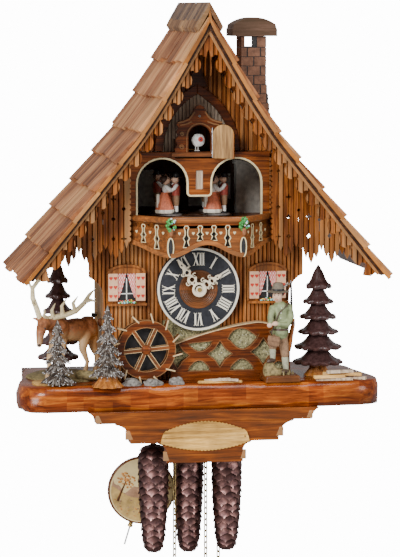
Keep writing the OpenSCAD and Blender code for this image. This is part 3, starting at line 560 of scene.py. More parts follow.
    def ball(self, at, radius, tint=0.0, finish=0, steps=16, turn=None):
        """A ball or, with three radii, an egg, turned by an optional rotation."""
        size = Vector(radius) if isinstance(radius, (list, tuple)) else Vector((radius,) * 3)
        turn = turn or Matrix()
        rings = []
        half = steps // 2
        for j in range(1, half):
            b = math.pi * j / half
            rings.append([(Vector(at) + turn @ Vector((size.x * math.sin(b) * math.cos(math.tau * i / steps),
                                                       size.y * math.sin(b) * math.sin(math.tau * i / steps),
                                                       -size.z * math.cos(b)))) for i in range(steps)])
        self.rings(rings, tint, finish)

    def done(self, *replaced, body="root", slot=None, bevel=0.0, segments=2, smooth=35, remesh=0.0):
        mesh = bpy.data.meshes.new(self.name)
        mesh.from_pydata([to_frame(v) for v in self.verts], [], self.faces)
        for finish in self.finishes:
            mesh.materials.append(materials[finish])
        mesh.polygons.foreach_set("material_index", self.slots)
        mesh.attributes.new("tint", "FLOAT", "POINT").data.foreach_set("value", self.tints)
        bm = bmesh.new()
        bm.from_mesh(mesh)
        bmesh.ops.recalc_face_normals(bm, faces=bm.faces)
        bm.to_mesh(mesh)
        bm.free()
        made = bpy.data.objects.new(self.name, mesh)
        bpy.context.scene.collection.objects.link(made)
        if remesh:
            voxel = made.modifiers.new("join", "REMESH")
            voxel.mode = "VOXEL"
            voxel.voxel_size = remesh * MM
            voxel.use_smooth_shade = True
            relax = made.modifiers.new("relax", "SMOOTH")
            relax.factor, relax.iterations = 0.5, 4
        if bevel:
            edge = made.modifiers.new("edge", "BEVEL")
            edge.width, edge.segments = bevel * MM, segments
            edge.limit_method, edge.angle_limit = "ANGLE", math.radians(32)
        mesh.set_sharp_from_angle(angle=math.radians(smooth))
        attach(made, body)
        if replaced:
            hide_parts(*replaced)
        return made


def circle(x, h, r, steps=24, start=0.0, end=math.tau):
    """Points on an arc; a full turn leaves out the repeated end point."""
    count = steps if abs(end - start) > math.tau - 1e-6 else steps + 1
    return [(x + r * math.cos(start + (end - start) * i / steps),
             h + r * math.sin(start + (end - start) * i / steps)) for i in range(count)]


def mirrored(points):
    return [(-x, h) for x, h in reversed(points)]


def turned(x, h, angle):
    c, s = math.cos(angle), math.sin(angle)
    return (c * x - s * h, s * x + c * h)


def shifted(points, dx, dh, angle=0.0, size=1.0):
    return [(dx + size * turned(x, h, angle)[0], dh + size * turned(x, h, angle)[1]) for x,
            h in points]


# ---------------------------------------------------------------- roof

RIDGE_H, STEEP, SHALLOW = 474.5, 1.758, 1.248
BEND_IN, BEND_OUT = 50, 110
DECK_OUT, DECK_IN = 7, 14
ROOF_FRONT = node_box("shingles_left")[0][1]
EAVE_X = 234


def roof_h(x):
    drop = STEEP * x
    if x > BEND_IN:
        bent = min(x, BEND_OUT) - BEND_IN
        drop -= (STEEP - SHALLOW) * bent * bent / (2 * (BEND_OUT - BEND_IN))
    if x > BEND_OUT:
        drop -= (STEEP - SHALLOW) * (x - BEND_OUT)
    return RIDGE_H - drop


def roof_pt(x, depth):
    """The point at a depth below the shingle line, square to the slope at x."""
    a = math.atan(roof_h(x - 0.5) - roof_h(x + 0.5))
    return (x - depth * math.sin(a), roof_h(x) - depth * math.cos(a))


def roof_line(depth, x_from, x_to, steps=24):
    points = [roof_pt(x_from + (x_to - x_from) * i / steps, depth) for i in range(steps + 1)]
    if x_from == 0:
        points[0] = (0, RIDGE_H - depth / math.cos(math.atan(STEEP)))
        points = [points[0]] + [p for p in points[1:] if p[0] > 0.3]
    return points


def slope_points(spacing, x_from, x_to):
    """X values at equal steps along the slope."""
    found, x, run = [], x_from, 0.0
    while x < x_to:
        if run <= 0:
            found.append(x)
            run += spacing
        run -= math.hypot(0.5, roof_h(x) - roof_h(x + 0.5))
        x += 0.5
    return found


def course_x(k):
    return 6.5 if k == 0 else 14 + 24.5 * k + 0.4 * k * k


def make_shingles(name, side):
    """Split shingles in eight courses, each of a few strips with its own stain and ragged foot."""
    piece = Piece(name, "shingle")
    back_y = node_box(name)[1][1]
    for k in range(1, 9):
        top, butt = course_x(k - 1) - (2.5 if k > 1 else 0), course_x(k)
        y = ROOF_FRONT
        board_tint = 0.0
        left_in_board = 0
        while y < back_y - 1:
            if left_in_board == 0:
                left_in_board = rng.choice((3, 4, 4, 5))
                board_tint = rng.uniform(-0.5, 0.4)
                board_foot, board_lift = rng.uniform(-1.8, 1.6), rng.uniform(0, 0.7)
            wide = min(rng.uniform(9.5, 15.5), back_y - y)
            if back_y - y - wide < 5:
                wide = back_y - y
            left_in_board -= 1
            last = left_in_board == 0
            foot = butt + board_foot + rng.uniform(-0.5, 0.5)
            lift = board_lift + rng.uniform(-0.15, 0.15)
            tint = max(-1, min(1, board_tint + rng.uniform(-0.35, 0.35)))
            gap = 1.3 if last else 0.35
            head_low, head_high = roof_pt(top, DECK_OUT - 0.1), roof_pt(top, 5.2)
            foot_low, foot_high = roof_pt(foot, DECK_OUT - 0.1 - 0.5 * lift), roof_pt(foot,
                    0.9 - lift)
            corners = [(side * p[0], yy, p[1]) for p, yy in
                       ((head_low, y), (foot_low, y), (foot_low, y + wide - gap),
                        (head_low, y + wide - gap),
                        (head_high, y), (foot_high, y), (foot_high, y + wide - gap),
                        (head_high, y + wide - gap))]
            piece.hexa(corners, tint)
            # A dark sliver at each board's edge is painted shade in the gap between boards.
            if last and y + wide < back_y - 2:
                notch = foot - rng.uniform(2.5, 5.5)
                a, b = roof_pt(notch, DECK_OUT - 0.2), roof_pt(notch, 2.6)
                edge = y + wide
                piece.hexa([(side * p[0], yy, p[1]) for p, yy in
                            ((head_low, edge - 1.6), (a, edge - 1.6), (a, edge + 0.4),
                             (head_low, edge + 0.4),
                             (head_high, edge - 1.6), (b, edge - 1.6), (b, edge + 0.4),
                             (head_high, edge + 0.4))], -0.95)
            y += wide
    piece.done(name, slot="shingle_wood", bevel=0.35, segments=1, smooth=25)


def make_ridge():
    """Crosswise slats over the ridge, dark on top with pale worn ends."""
    piece = Piece("ridge_slats", "dark", "slat_end")
    front, back = node_box("ridge_cap")[0][1], node_box("ridge_cap")[1][1]
    slats = 17
    pitch = (back - front) / slats
    for i in range(slats):
        y0, y1 = front + pitch * i, front + pitch * (i + 1) - 0.5
        reach = 17.5 + rng.uniform(-1.2, 0.6)
        low = 3.4 + rng.uniform(-0.2, 0.1)
        for side in (-1, 1):
            inner = [(0, RIDGE_H - low / math.cos(math.atan(STEEP))), (0, RIDGE_H + 4.6)]
            for start, end, tip, finish in ((0, reach - 4.6, 0, 0), (reach - 4.6, reach, 1, 1)):
                a_low, a_high = ((roof_pt(start, low),
                                  (start, roof_h(start) + 4.9)) if start else inner)
                b_low, b_high = roof_pt(end, low), (end, roof_h(end) + 4.9 - 1.2 * tip)
                piece.hexa([(side * p[0], y, p[1]) for p, y in
                            ((a_low, y0), (b_low, y0), (b_low, y1), (a_low, y1),
                             (a_high, y0), (b_high, y0), (b_high, y1), (a_high, y1))],
                           rng.uniform(-0.2, 0.35), finish)
    piece.done("ridge_cap", slot="dark_wood", bevel=0.5, segments=2, smooth=25)


def make_roof_edges():
    """Verge strips lapped like the shingles, a dark strip behind them as painted shadow in the recess, and a
    rounded lath below lightened as a painted highlight.
    """
    piece = Piece("verge_strips", "verge", "dark", "carved")
    for side in (-1, 1):
        for k in range(1, 9):
            start, end = course_x(k - 1) - (1.5 if k > 1 else 6), course_x(k)
            steps = 5
            upper, lower = [], []
            for i in range(steps + 1):
                x = max(start + (end - start) * i / steps, 0.6)
                lap = 1.7 * (1 - i / steps)
                upper.append(roof_pt(x, 5.4 + lap))
                lower.append(roof_pt(x, 10.4 + 0.6 * lap))
            outline = [(side * max(x, 0.2), h) for x, h in upper + lower[::-1]]
            y = -238.4 + 0.12 * (k % 2)
            piece.board([outline], y, -235.6, rng.uniform(0.0, 0.5))
        # The dark strip is painted shadow in the recess behind the verge; the lath below is lightened as a painted
        # highlight.
        dark = roof_line(9, 0, 230) + roof_line(13.9, 0, 230)[::-1]
        piece.board([[(side * x, h) for x, h in dark]], -234.6, -232.8, -0.6, 1)
        lath = roof_line(13.4, 0, 228) + roof_line(17.0, 0, 228)[::-1]
        piece.board([[(side * x, h) for x, h in lath]], -230.8, -227.2, 0.55, 2)
    piece.done(body="root", slot="carved_wood", bevel=0.6, segments=2)


def hook_shape():
    """One carved hook: (distance along the slope, depth), from the previous notch to its own."""
    curl = [(13.6 + 3.0 * math.cos(a), 25.6 + 3.0 * math.sin(a))
            for a in [math.radians(d) for d in range(100, -70, -25)]]
    return [(0, 20.5), (1.2, 24.2), (4.0, 27.2), (8.6, 29.0), (12.4, 29.0)] + curl + [(17.6, 20.2),
                                                                    (20.4, 19.2)]


def barge_outline():
    starts = slope_points(22.2, 9, 206)
    low = []
    for a, b in zip(starts, starts[1:] + [218]):
        for u, d in hook_shape():
            x = a + (b - a) * u / 22.2
            low.append(roof_pt(x, d))
    low = [p for p in low if p[0] > 3.2]
    top = roof_line(DECK_IN + 0.3, 0, 226, 40)
    tail = [roof_pt(226, 24), roof_pt(222, 30)]
    arch = [(0.0, 421), (1.8, 417), (3.2, 409), (3.9, 398), (3.2, 388)]
    return top, tail + low[::-1] + arch[::-1], starts


def make_bargeboards():
    piece = Piece("bargeboards_carved", "carved")
    top, low, starts = barge_outline()
    cuts = []
    for a, b in zip(starts, starts[1:] + [222]):
        cuts += [a - 2.4, (a + b) / 2 - 2.4]
    shades = {}

    def shade(v):
        i = sum(1 for c in cuts if c < abs(v[0]) - 0.01)
        key = (i, v[0] > 0)
        if key not in shades:
            shades[key] = rng.uniform(-0.15, 0.5)
        return shades[key]
    for side in (-1, 1):
        outline = [(side * x, h) for x, h in top + low]
        piece.board([outline], -227, -219, shade, 0, [side * c for c in cuts if c > 2], (1.0, 2.4))
    piece.done("bargeboards", slot="carved_wood", bevel=0.55, segments=2)


def cut_out(kind, x, h, size=1.0):
    """A small pierced shape: diamond, cross, drop or keyhole, as an outline."""
    if kind == "diamond":
        shape = [(0, -3.6), (3.0, 0), (0, 3.6), (-3.0, 0)]
    elif kind == "cross":
        shape = [(-0.9, -4), (0.9, -4), (1.1, -1.1), (3.6, -0.9), (3.6, 0.9), (1.1, 1.1), (0.9, 4),
                 (-0.9, 4), (-1.1, 1.1), (-3.6, 0.9), (-3.6, -0.9), (-1.1, -1.1)]
    elif kind == "drop":
        shape = [(0, -9)] + circle(0, 0, 1.9, 10, math.radians(-40), math.radians(220))
    else:
        shape = [(0.7, -15), (0.8, -1.6)] + circle(0, 0, 2.3, 12, math.radians(-60),
                                                   math.radians(240)) \
            + [(-0.8, -1.6), (-0.7, -15)]
    return shifted(shape, x, h, 0, size)


def make_icicles():
    """Sawn hanging boards beside the stage, pierced and scalloped, with pointed ends."""
    piece = Piece("icicle_boards", "carved")
    inner, pitch = 92.0, 6.65
    ribs = 16
    top_line = roof_line(DECK_IN + 0.4, 112, 216, 20)
    top_line = [p for p in top_line if inner + 1 < p[0]]
    start_top = (inner, roof_pt(104.5, DECK_IN + 0.4)[1])
    ends = [172, 166, 158, 163, 171, 165, 157, 150, 157, 166, 158, 150, 157, 160, 154, 161]
    low = [(inner, 178)]
    for i in range(ribs):
        x0 = inner + pitch * i
        tip = ends[i]
        edge_left = tip + 6 + (3 if i % 3 == 0 else 0)
        low += [(x0 + 0.5, edge_left), (x0 + pitch * 0.5, tip), (x0 + pitch - 0.5, edge_left + 1)]
    last = inner + pitch * ribs
    roof_end = [p for p in top_line if p[0] < last]
    scallops = []
    h = 180.0
    while h < 276:
        scallops += [(inner - 0.2, h), (inner - 2.2, h + 1.6), (inner - 2.6, h + 3.3),
                     (inner - 2.2, h + 5.0)]
        h += 6.7
    top_edge = [start_top] + roof_end + [(last, roof_pt(last + 10.5, DECK_IN + 0.4)[1])]
    outline = [p for p in scallops if p[1] < start_top[1] - 2] + top_edge + low[::-1]
    holes = []
    for i, kinds in ((1, "C..D..K"), (3, "D.D.C.D"), (5, "..K..D."), (7, "D.C.D.K"), (9, ".K..C.."),
                     (11, "D.K"), (13, ".C")):
        x = inner + pitch * i
        roof_here = roof_pt(x + 10.5, DECK_IN)[1]
        for j, kind in enumerate(kinds):
            h = 184 + 12.5 * j
            if kind != "." and h < roof_here - 14:
                holes.append(cut_out({"C": "cross", "D": "diamond", "K": "keyhole"}[kind], x,
                                     h + (8 if kind == "K" else 0)))
    cuts = [inner + pitch * i for i in range(1, ribs)]
    shades = [rng.uniform(-0.4, 0.55) for _ in range(ribs * 2 + 4)]

    def shade(v):
        i = int((abs(v[0]) - inner) / pitch)
        return shades[max(0, min(i, ribs)) + (ribs if v[0] > 0 else 0)]
    for side in (-1, 1):
        loops = [[(side * x, h) for x, h in loop] for loop in [outline] + holes]
        piece.board(loops, -177, -171, shade, 0, [side * c for c in cuts], (0.9, 1.8))
    piece.done("icicle_panels", slot="carved_wood", bevel=0.4, segments=1)


def make_chimney():
    """Painted bricks with dark joints, an open smoke hole and a boat-shaped cap."""
    piece = Piece("chimney_bricks", "brick", "black", "cap_wood")
    left, right, front, back = 59.0, 92.0, -131.0, -97.0
    inset = 0.5

    def stack(h):
        return right + max(0, (380 - h)) * 0.12
    outline = [(left + inset, roof_h(left) + 0.6), (right + 5.5, roof_h(right + 5.5) + 0.6),
               (stack(346) - inset, 346),
               (right - inset, 380), (right - inset, 435.8), (left + inset, 435.8)]
    hole = [(64, 423), (79, 423), (79, 435), (64, 435)]
    piece.board([outline, hole], front + inset, back - inset, 0, 1)
    row, h = 0, 316.0
    while h < 436:
        top = min(h + 11.6, 435.9)
        if h > 421:
            top = 435.9
        shift = 0 if row % 2 else 8.5
        x = left - shift
        while x < stack(h):
            a, b = max(x, left), min(x + 16.2, stack((h + top) / 2))
            if b - a > 2.5 and roof_h(a) + 1.2 < top - 2:
                low = h
                parts = [(a, b)]
                if top > 424:
                    parts = [(a, min(b, 63.6)), (max(a, 79.4), b)]
                for p, q in parts:
                    if q - p > 2:
                        for y in (front, back - 1.6):
                            base_p, base_q = max(low, roof_h(p) + 0.9), max(low, roof_h(q) + 0.9)
                            if base_p < top - 1:
                                piece.hexa([(p + 0.35, y, base_p), (q - 0.35, y, base_q),
                                            (q - 0.35, y + 1.6, base_q),
                                            (p + 0.35, y + 1.6, base_p), (p + 0.35, y, top - 0.6),
                                            (q - 0.35, y, top - 0.6),
                                            (q - 0.35, y + 1.6, top - 0.6),
                                            (p + 0.35, y + 1.6, top - 0.6)],
                                           rng.uniform(-0.35, 0.4))
            x += 17
        y = front - (0 if row % 2 else 8)
        while y < back:
            a, b = max(y, front + 0.2), min(y + 16.4, back - 0.2)
            if b - a > 2.5:
                for x0, x1 in ((left, left + 1.6),
                               (stack((h + top) / 2) - 1.6, stack((h + top) / 2))):
                    if roof_h(x0) + 1.5 < top - 1.5:
                        piece.box((x0, a + 0.35, max(h, roof_h(x0) + 0.9)),
                                  (x1, b - 0.35, top - 0.6),
                                  rng.uniform(-0.35, 0.4))
            y += 17
        h = top + 0.2
        row += 1
    arch = circle(76, 415, 45, 14, math.radians(53.2), math.radians(126.8))
    cap = [(47, 436), (105, 436), (105, 445.4), (104.2, 446)] + arch + [(47.8, 446), (47, 445.4)]
    piece.board([cap], front - 5, back + 5, 0.1, 2)
    piece.done("chimney", slot="painted_brick", bevel=0.45, segments=2)


# ---------------------------------------------------------------- base

def offset_loop(points, distance):
    """Moves each point of a clockwise or counter-clockwise loop inwards."""
    count = len(points)
    area = sum(points[i - 1][0] * points[i][1] - points[i][0] * points[i - 1][1] for i in range(count))
    sign = 1 if area > 0 else -1
    moved = []
    for i in range(count):
        before, here, after = Vector(points[i - 1]), Vector(points[i]), Vector(points[(i + 1) % count])
        along = (after - here).normalized() + (here - before).normalized()
        along = along.normalized() if along.length > 1e-6 else (after - here).normalized()
        step = distance[i] if isinstance(distance, list) else distance
        moved.append((here.x - sign * along.y * step, here.y + sign * along.x * step))
    return moved


def make_base():
    """The terrace board with a chip-carved edge, its two slots and the pit of the water wheel."""
    piece = Piece("terrace", "varnished", "varnish_highlight", "varnish_shade")
    corners = [(210, 0), (222, -80), (234, -150), (231, -182), (220, -196), (200, -203)]
    corners = corners + [(-x, y) for x, y in reversed(corners)]
    edge = []
    for a, b in zip(corners, corners[1:]):
        length = math.dist(a, b)
        count = max(1, round(length / 21))
        for i in range(count):
            t = (i + (rng.uniform(-0.28, 0.28) if i else 0)) / count
            edge.append((a[0] + (b[0] - a[0]) * t, a[1] + (b[1] - a[1]) * t))
    edge.append(corners[-1])
    rows, heights = [], []
    for low, high, inset, loose in ((0.0, 0.0, 3.2, 3.0), (-13.5, -6.5, 0.2, 2.6),
                                    (-24.0, -17.0, 0.3, 3.0),
                                    (-31.0, -31.0, 3.4, 3.4)):
        insets = [0.0 if p[1] > -1 else inset + rng.uniform(0, loose) for p in edge]
        rows.append(offset_loop(edge, insets))
        heights.append([rng.uniform(low, high) for _ in edge])
    count = len(edge)
    for i, p in enumerate(edge):
        if p[1] > -1:
            for row in rows:
                row[i] = p
    for j in range(3):
        for i in range(count - 1):
            quad = [(*rows[j][i], heights[j][i]), (*rows[j][i + 1], heights[j][i + 1]),
                    (*rows[j + 1][i + 1], heights[j + 1][i + 1]),
                    (*rows[j + 1][i], heights[j + 1][i])]
            split = (0, 1, 2), (0, 2, 3)
            if rng.random() < 0.5:
                split = (0, 1, 3), (1, 2, 3)
            # Facets take the plain varnish or, at random, its lighter or darker copy: painted highlight and shade
            # in place of gloss on the cuts.
            finish = rng.choice((0, 1, 0, 2) if j == 1 else (0, 1, 1, 2))
            for tri in split:
                piece.add([quad[k] for k in tri], [(0, 1, 2)], 0, finish)
    ends = [(*rows[j][i], heights[j][i]) for j in range(4) for i in (0,)] \
        + [(*rows[j][count - 1], heights[j][count - 1]) for j in (3, 2, 1, 0)]
    piece.add(ends, [tuple(range(8))], 0)
    slots = [[(-56, -100), (56, -100), (56, -58), (-56, -58)],
             [(-34, -44), (34, -44), (34, -20), (-34, -20)]]
    pit = [(-98, -176), (-42, -176), (-42, -156), (-98, -156)]
    for h, ring, holes in ((0, rows[0], slots + [pit]), (-31, rows[3], slots)):
        loops = [ring] + holes
        points = [p for loop in loops for p in loop]
        faces = tessellate_polygon([[Vector((x, y, 0)) for x, y in loop] for loop in loops])
        piece.add([(x, y, h) for x, y in points], faces, -0.25 if h == 0 else -0.4)
    # The slot walls and the pit floor are darkened as painted shade.
    for loop, low in ((slots[0], -31), (slots[1], -31), (pit, -9)):
        for i in range(4):
            a, b = loop[i], loop[(i + 1) % 4]
            piece.add([(*a, 0), (*b, 0), (*b, low), (*a, low)], [(0, 1, 2, 3)], -0.6)
    piece.add([(x, y, -9) for x, y in pit], [(0, 1, 2, 3)], -0.7)
    made = piece.done("base_board", slot="varnished_wood", smooth=8)
    bm = bmesh.new()
    bm.from_mesh(made.data)
    bmesh.ops.remove_doubles(bm, verts=bm.verts, dist=1e-6)
    bmesh.ops.recalc_face_normals(bm, faces=bm.faces)
    bm.to_mesh(made.data)
    bm.free()
    apron = Piece("apron", "apron_wood")
    half = [(0, -31.2), (146, -31.2)] + circle(153, -46, 15, 8, math.radians(112),
                                               math.radians(180)) \
        + [(115, -46)] + circle(115, -68, 20, 10, math.radians(96), math.radians(180)) + [(95, -72),
                (60, -72)] \
        + circle(59, -84, 10, 8, math.radians(95), math.radians(180)) + [(49, -98), (0, -98)]
    outline = half + [(-x, h) for x, h in reversed(half[1:-1])]
    apron.board([outline], -202.6, -183, 0.05)
    # Small chip wedges on the apron front, lightened as painted highlights on the cut facets.
    for side in (-1, 1):
        for x, h, w, t in ((139, -40, 9, 5), (101, -61, 10, 6), (53, -89, 8, 6)):
            apron.hexa([(side * (x - w), -202.7, h - t), (side * x, -202.7, h - t),
                        (side * x, -199, h - t),
                        (side * (x - w), -199, h - t), (side * (x - w * 0.5), -202.9, h + t),
                        (side * x, -202.9, h + t),
                        (side * x, -199, h + t), (side * (x - w * 0.5), -199, h + t)], 0.6)
    apron.done("base_apron", slot="varnished_wood", bevel=1.6, segments=3)


def make_plaque():
    """A plain scalloped birch plate held by two brass pins; it carries no lettering."""
    piece = Piece("plaque_plate", "birch", "brass")
    centre = -64
    outline = []
    for i in range(-50, 51):
        x = i
        outline.append((x, 18.5 - 11.5 * (abs(x) / 50) ** 1.9 + 0.55 * math.cos(math.tau * x / 4.55)))
    outline += [(53.4, 4), (55.4, -2), (57, -8.4)]
    for i in range(56, -57, -1):
        x = i
        outline.append((x, -18.5 + 10 * (abs(x) / 56) ** 1.9 - 0.55 * math.cos(math.tau * x / 4.55)))
    outline += [(-57, -8.4), (-55.4, -2), (-53.4, 4)]
    piece.board([[(x, h + centre) for x, h in outline]], -205.6, -203, 0)
    for x in (-51, 51):
        piece.lathe((x, -205.4, centre - 1.5), "y",
                    [(0.1, -1.2), (0.9, -1.0), (1.3, -0.3), (1.3, 0.2), (0.5, 0.4)],
                    14, 0, 1)
    piece.done("plaque", slot="birch", bevel=0.4, segments=2)


# ---------------------------------------------------------------- case and gable

def under_roof(half, low_h, gap=0.3):
    right = [p for p in roof_line(DECK_IN + gap, 0, EAVE_X, 60) if p[0] < half and p[1] > low_h]
    return [(half, low_h)] + right[::-1] + [(-x, h) for x, h in right[1:]] + [(-half, low_h)]


def make_walls():
    """The front of upright half-round laths, with window and dial openings."""
    piece = Piece("front_laths", "laths")
    scoop = circle(148, 106, 28, 14, math.radians(168), math.radians(112))
    right = [(120, 0), (120, 99)] + scoop + [(138, 134.5), (138, 198.8)]
    outline = right + mirrored(right)
    windows = [[(s * 68, 102), (s * 114, 102), (s * 114, 139), (s * 68, 139)] for s in (-1, 1)]
    holes = windows + [circle(0, 116.5, 9, 24), circle(-70, 42.7, 2.6, 12)]
    cuts = [x * 5.2 + 2.6 for x in range(-27, 27) if abs(x * 5.2 + 2.6) < 137]
    shades = [rng.uniform(-0.2, 0.75) for _ in range(80)]

    def shade(v):
        return shades[int((v[0] + 140) / 5.2 + 0.02) % 80] * (0.4 + 0.6 * rng.random())
    piece.board([outline] + holes, -142, -134, shade, 0, cuts, (1.3, 2.2))
    piece.done("front_wall", slot="case_wood", bevel=0.45, segments=1)
    # The side boards use the lighter wood as painted light on the lit sides.
    sides = Piece("side_boards", "side_wood_lit", "black", "steel")
    for side in (-1, 1):
        x = 105 if side > 0 else -113
        span = [(-133.8, -104), (-103.8, -74), (-73.8, -42), (-41.8, -8.2)]
        for a, b in span:
            if side < 0 and a == -41.8:
                sides.box((x, a, 0.2), (x + 8, b, 59), 0.1)
                sides.box((x, a, 83), (x + 8, b, 266.8), 0.1)
                sides.box((x, a, 59), (x + 8, -28, 83), 0.1)
                sides.box((x, -24, 59), (x + 8, b, 83), 0.1)
            else:
                sides.box((x, a, 0.2), (x + 8, b, 266.8), rng.uniform(-0.1, 0.3))
        for y in (-125, -17):
            sides.box((x + (0 if side > 0 else 7.4), y, 0.4),
                      (x + (8.6 if side > 0 else 8), y + 6, 180), -0.3)
    sides.done("side_walls", slot="case_wood", bevel=0.5, segments=2)


def make_gable():
    """Pale grooved boards and a dark pointed arch of two curved beams, with a triangle above its apex drawn darker
    than the beams.
    """
    piece = Piece("gable_boards", "pale")
    outline = [(-138, 205.2), (-84, 205.2), (-84, 288), (-22, 288), (-22, 329), (22, 329),
               (22, 288), (84, 288),
               (84, 205.2), (138, 205.2)]
    outline = outline + under_roof(138, 205.2)[1:-1]
    cuts = [x * 4.6 for x in range(-29, 30)]
    piece.board([outline], -142, -134, lambda v: rng.uniform(-0.12, 0.1), 0, cuts, (0.8, 1.1))
    piece.done("gable_panel", slot="pale_wood", bevel=0.0)
    outer = [(94.6 * math.cos(a) - 39.6, 290 + 94.6 * math.sin(a)) for a in
             [0.016 + (math.acos(39.6 / 94.6) - 0.016) * i / 14 for i in range(15)]]
    roof = [p for p in under_roof(137.6, 205.6, 1.2) if p[0] >= 0]
    side_board = [(90.4, 205.6)] + [(90.4, 291.4)] + outer + [(0, roof[-1][1])] + roof[::-1][1:]
    slats = Piece("gable_laths", "laths")
    cuts = [2.9 + 5.8 * i for i in range(24)]
    for loop, marks in ((side_board, cuts), (mirrored(side_board), [-x for x in cuts])):
        slats.board([loop], -144.6, -142.1, lambda v: 0.35 * math.sin(v[0] * 1.7), 0, marks,
                    (1.1, 1.5))
    slats.done(slot="carved_wood")
    beams = Piece("gable_arch", "arch_wood", "carved")
    for side in (-1, 1):
        a0, a1 = math.asin(1.8 / 94.6), math.acos(39.6 / 94.6)
        outer = [(-side * (94.6 * math.cos(a) - 39.6), 290 + 94.6 * math.sin(a))
                 for a in [a0 + (a1 - a0) * i / 16 for i in range(17)]]
        b0, b1 = math.asin(1.8 / 83.6), math.acos(39.6 / 83.6)
        inner = [(-side * (83.6 * math.cos(a) - 39.6), 290 + 83.6 * math.sin(a))
                 for a in [b0 + (b1 - b0) * i / 16 for i in range(17)]]
        beams.board([outer + inner[::-1]], -147, -142, 0)
    beams.board([[(-13, 372), (13, 372), (4, 398), (0, 420), (-4, 398)]], -146.4, -142, -0.4)
    beams.done("gable_beams", slot="dark_wood", bevel=0.7, segments=2)


# ---------------------------------------------------------------- stage, balcony and cuckoo house

def strip(piece, path, width, y_front, y_back, tint=0.0, finish=0, closed=False):
    """A flat band of a given width laid along a front view path."""
    count = len(path)
    rings = []
    for i in range(count):
        here = Vector(path[i])
        before = Vector(path[i - 1]) if (i or closed) else here
        after = Vector(path[(i + 1) % count]) if (i < count - 1 or closed) else here
        along = (after - before).normalized()
        across = Vector((-along.y, along.x)) * width / 2
        rings.append([(here.x - across.x, y_front, here.y - across.y),
                      (here.x + across.x, y_front, here.y + across.y),
                      (here.x + across.x, y_back, here.y + across.y),
                      (here.x - across.x, y_back, here.y - across.y)])
    piece.rings(rings, tint, finish, closed)


def heart(x, h, size):
    shape = []
    for i in range(20):
        t = math.tau * i / 20
        shape.append((0.42 * math.sin(t) ** 3,
                      (13 * math.cos(t) - 5 * math.cos(2 * t) - 2 * math.cos(3 * t)
                                                      - math.cos(4 * t)) / 32 + 0.03))
    return shifted(shape, x, h, 0, size)


def stage_opening():
    """The double arch with the pendant between its halves, as one outline."""
    right = [(80, 207), (80, 252)]
    right += [(47.5 + 32.5 * math.cos(a), 252 + 31.5 * math.sin(a)) for a in
              [math.radians(d) for d in range(12, 169, 12)]]
    right += [(15, 252), (15, 241)] + circle(11, 240, 4, 5, 0, -math.pi / 2)
    return [(-x, h) for x, h in right] + right[::-1]


def make_stage():
    piece = Piece("stage_board", "stage_wood", "cream_trim", "pale", "arch_wood")
    opening = stage_opening()
    inset = [(-4.6, 244), (4.6, 244), (4.6, 268), (-4.6, 268)]
    outline = [(-90, 205.4), (-80.05, 205.4)] + opening[1:-1] + [(80.05, 205.4), (90, 205.4),
            (90, 284.5), (31.4, 284.5),
                                                          (31.4, 283), (-31.4, 283), (-31.4, 284.5),
                                                          (-90, 284.5)]
    opening_path = [(-80, 207.5)] + opening[1:-1] + [(80, 207.5)]
    piece.board([outline, inset], -162, -156, 0)
    strip(piece, opening_path, 2.3, -162.7, -158.5, 0, 1)
    piece.board([[(-5.5, 243), (5.5, 243), (5.5, 269), (-5.5, 269)]], -159.4, -157.6, 0.2, 2)
    for side in (-1, 1):
        piece.box((side * 90 if side < 0 else 84.6, -156, 205.4),
                  (-84.6 if side < 0 else 90, -142.3, 290), -0.3)
        a, b = sorted((side * 90, side * 31.4))
        piece.box((a, -163.4, 284.7), (b, -142.3, 291), -0.1, 3)
        for i in range(13):
            h = 209 + 6.0 * i
            piece.lathe((side * 90.4, -161.8, h), "y", [(2.6, 0), (2.6, 3)], 12, 0.2)
    piece.box((-31.4, -155.8, 285), (31.4, -142.3, 291), -0.1, 3)
    piece.done("stage_front", slot="case_wood", bevel=0.5, segments=2)
    back = Piece("stage_room", "dark_room", "paper")
    back.box((-84.4, -40.6, 206), (84.4, -39.4, 286), -0.4)
    for i, x in enumerate((-60, -28, 6, 40)):
        back.box((x, -42.2, 214 + 9 * (i % 2)), (x + 22, -40.4, 262 - 6 * (i % 2)),
                 -0.2 + 0.2 * (i % 2), 1)
    back.done(slot="case_wood", bevel=0.3)
    floor = Piece("stage_boards", "case_x")
    for i in range(8):
        y0 = -161.8 + 15.2 * i
        for a, b in ((-103.8, -3.4), (3.4, 103.8)) if y0 < -94 < y0 + 15.2 else ((-103.8, 103.8),):
            floor.box((a, y0, 204.2), (b, y0 + 14.9, 205.05), rng.uniform(-0.3, 0.2))
    floor.done(slot="case_wood", bevel=0.25, segments=1)


def baluster(x, top, low, size=1.0):
    span = top - low
    shape = [(1.5, 0), (2.4, -0.08), (1.1, -0.22), (1.1, -0.42), (3.5, -0.58), (1.3, -0.72),
             (1.7, -0.78), (3.6, -1.0)]
    right = [(x + size * w, top + span * t) for w, t in shape]
    return right + [(2 * x - px, h) for px, h in reversed(right)]


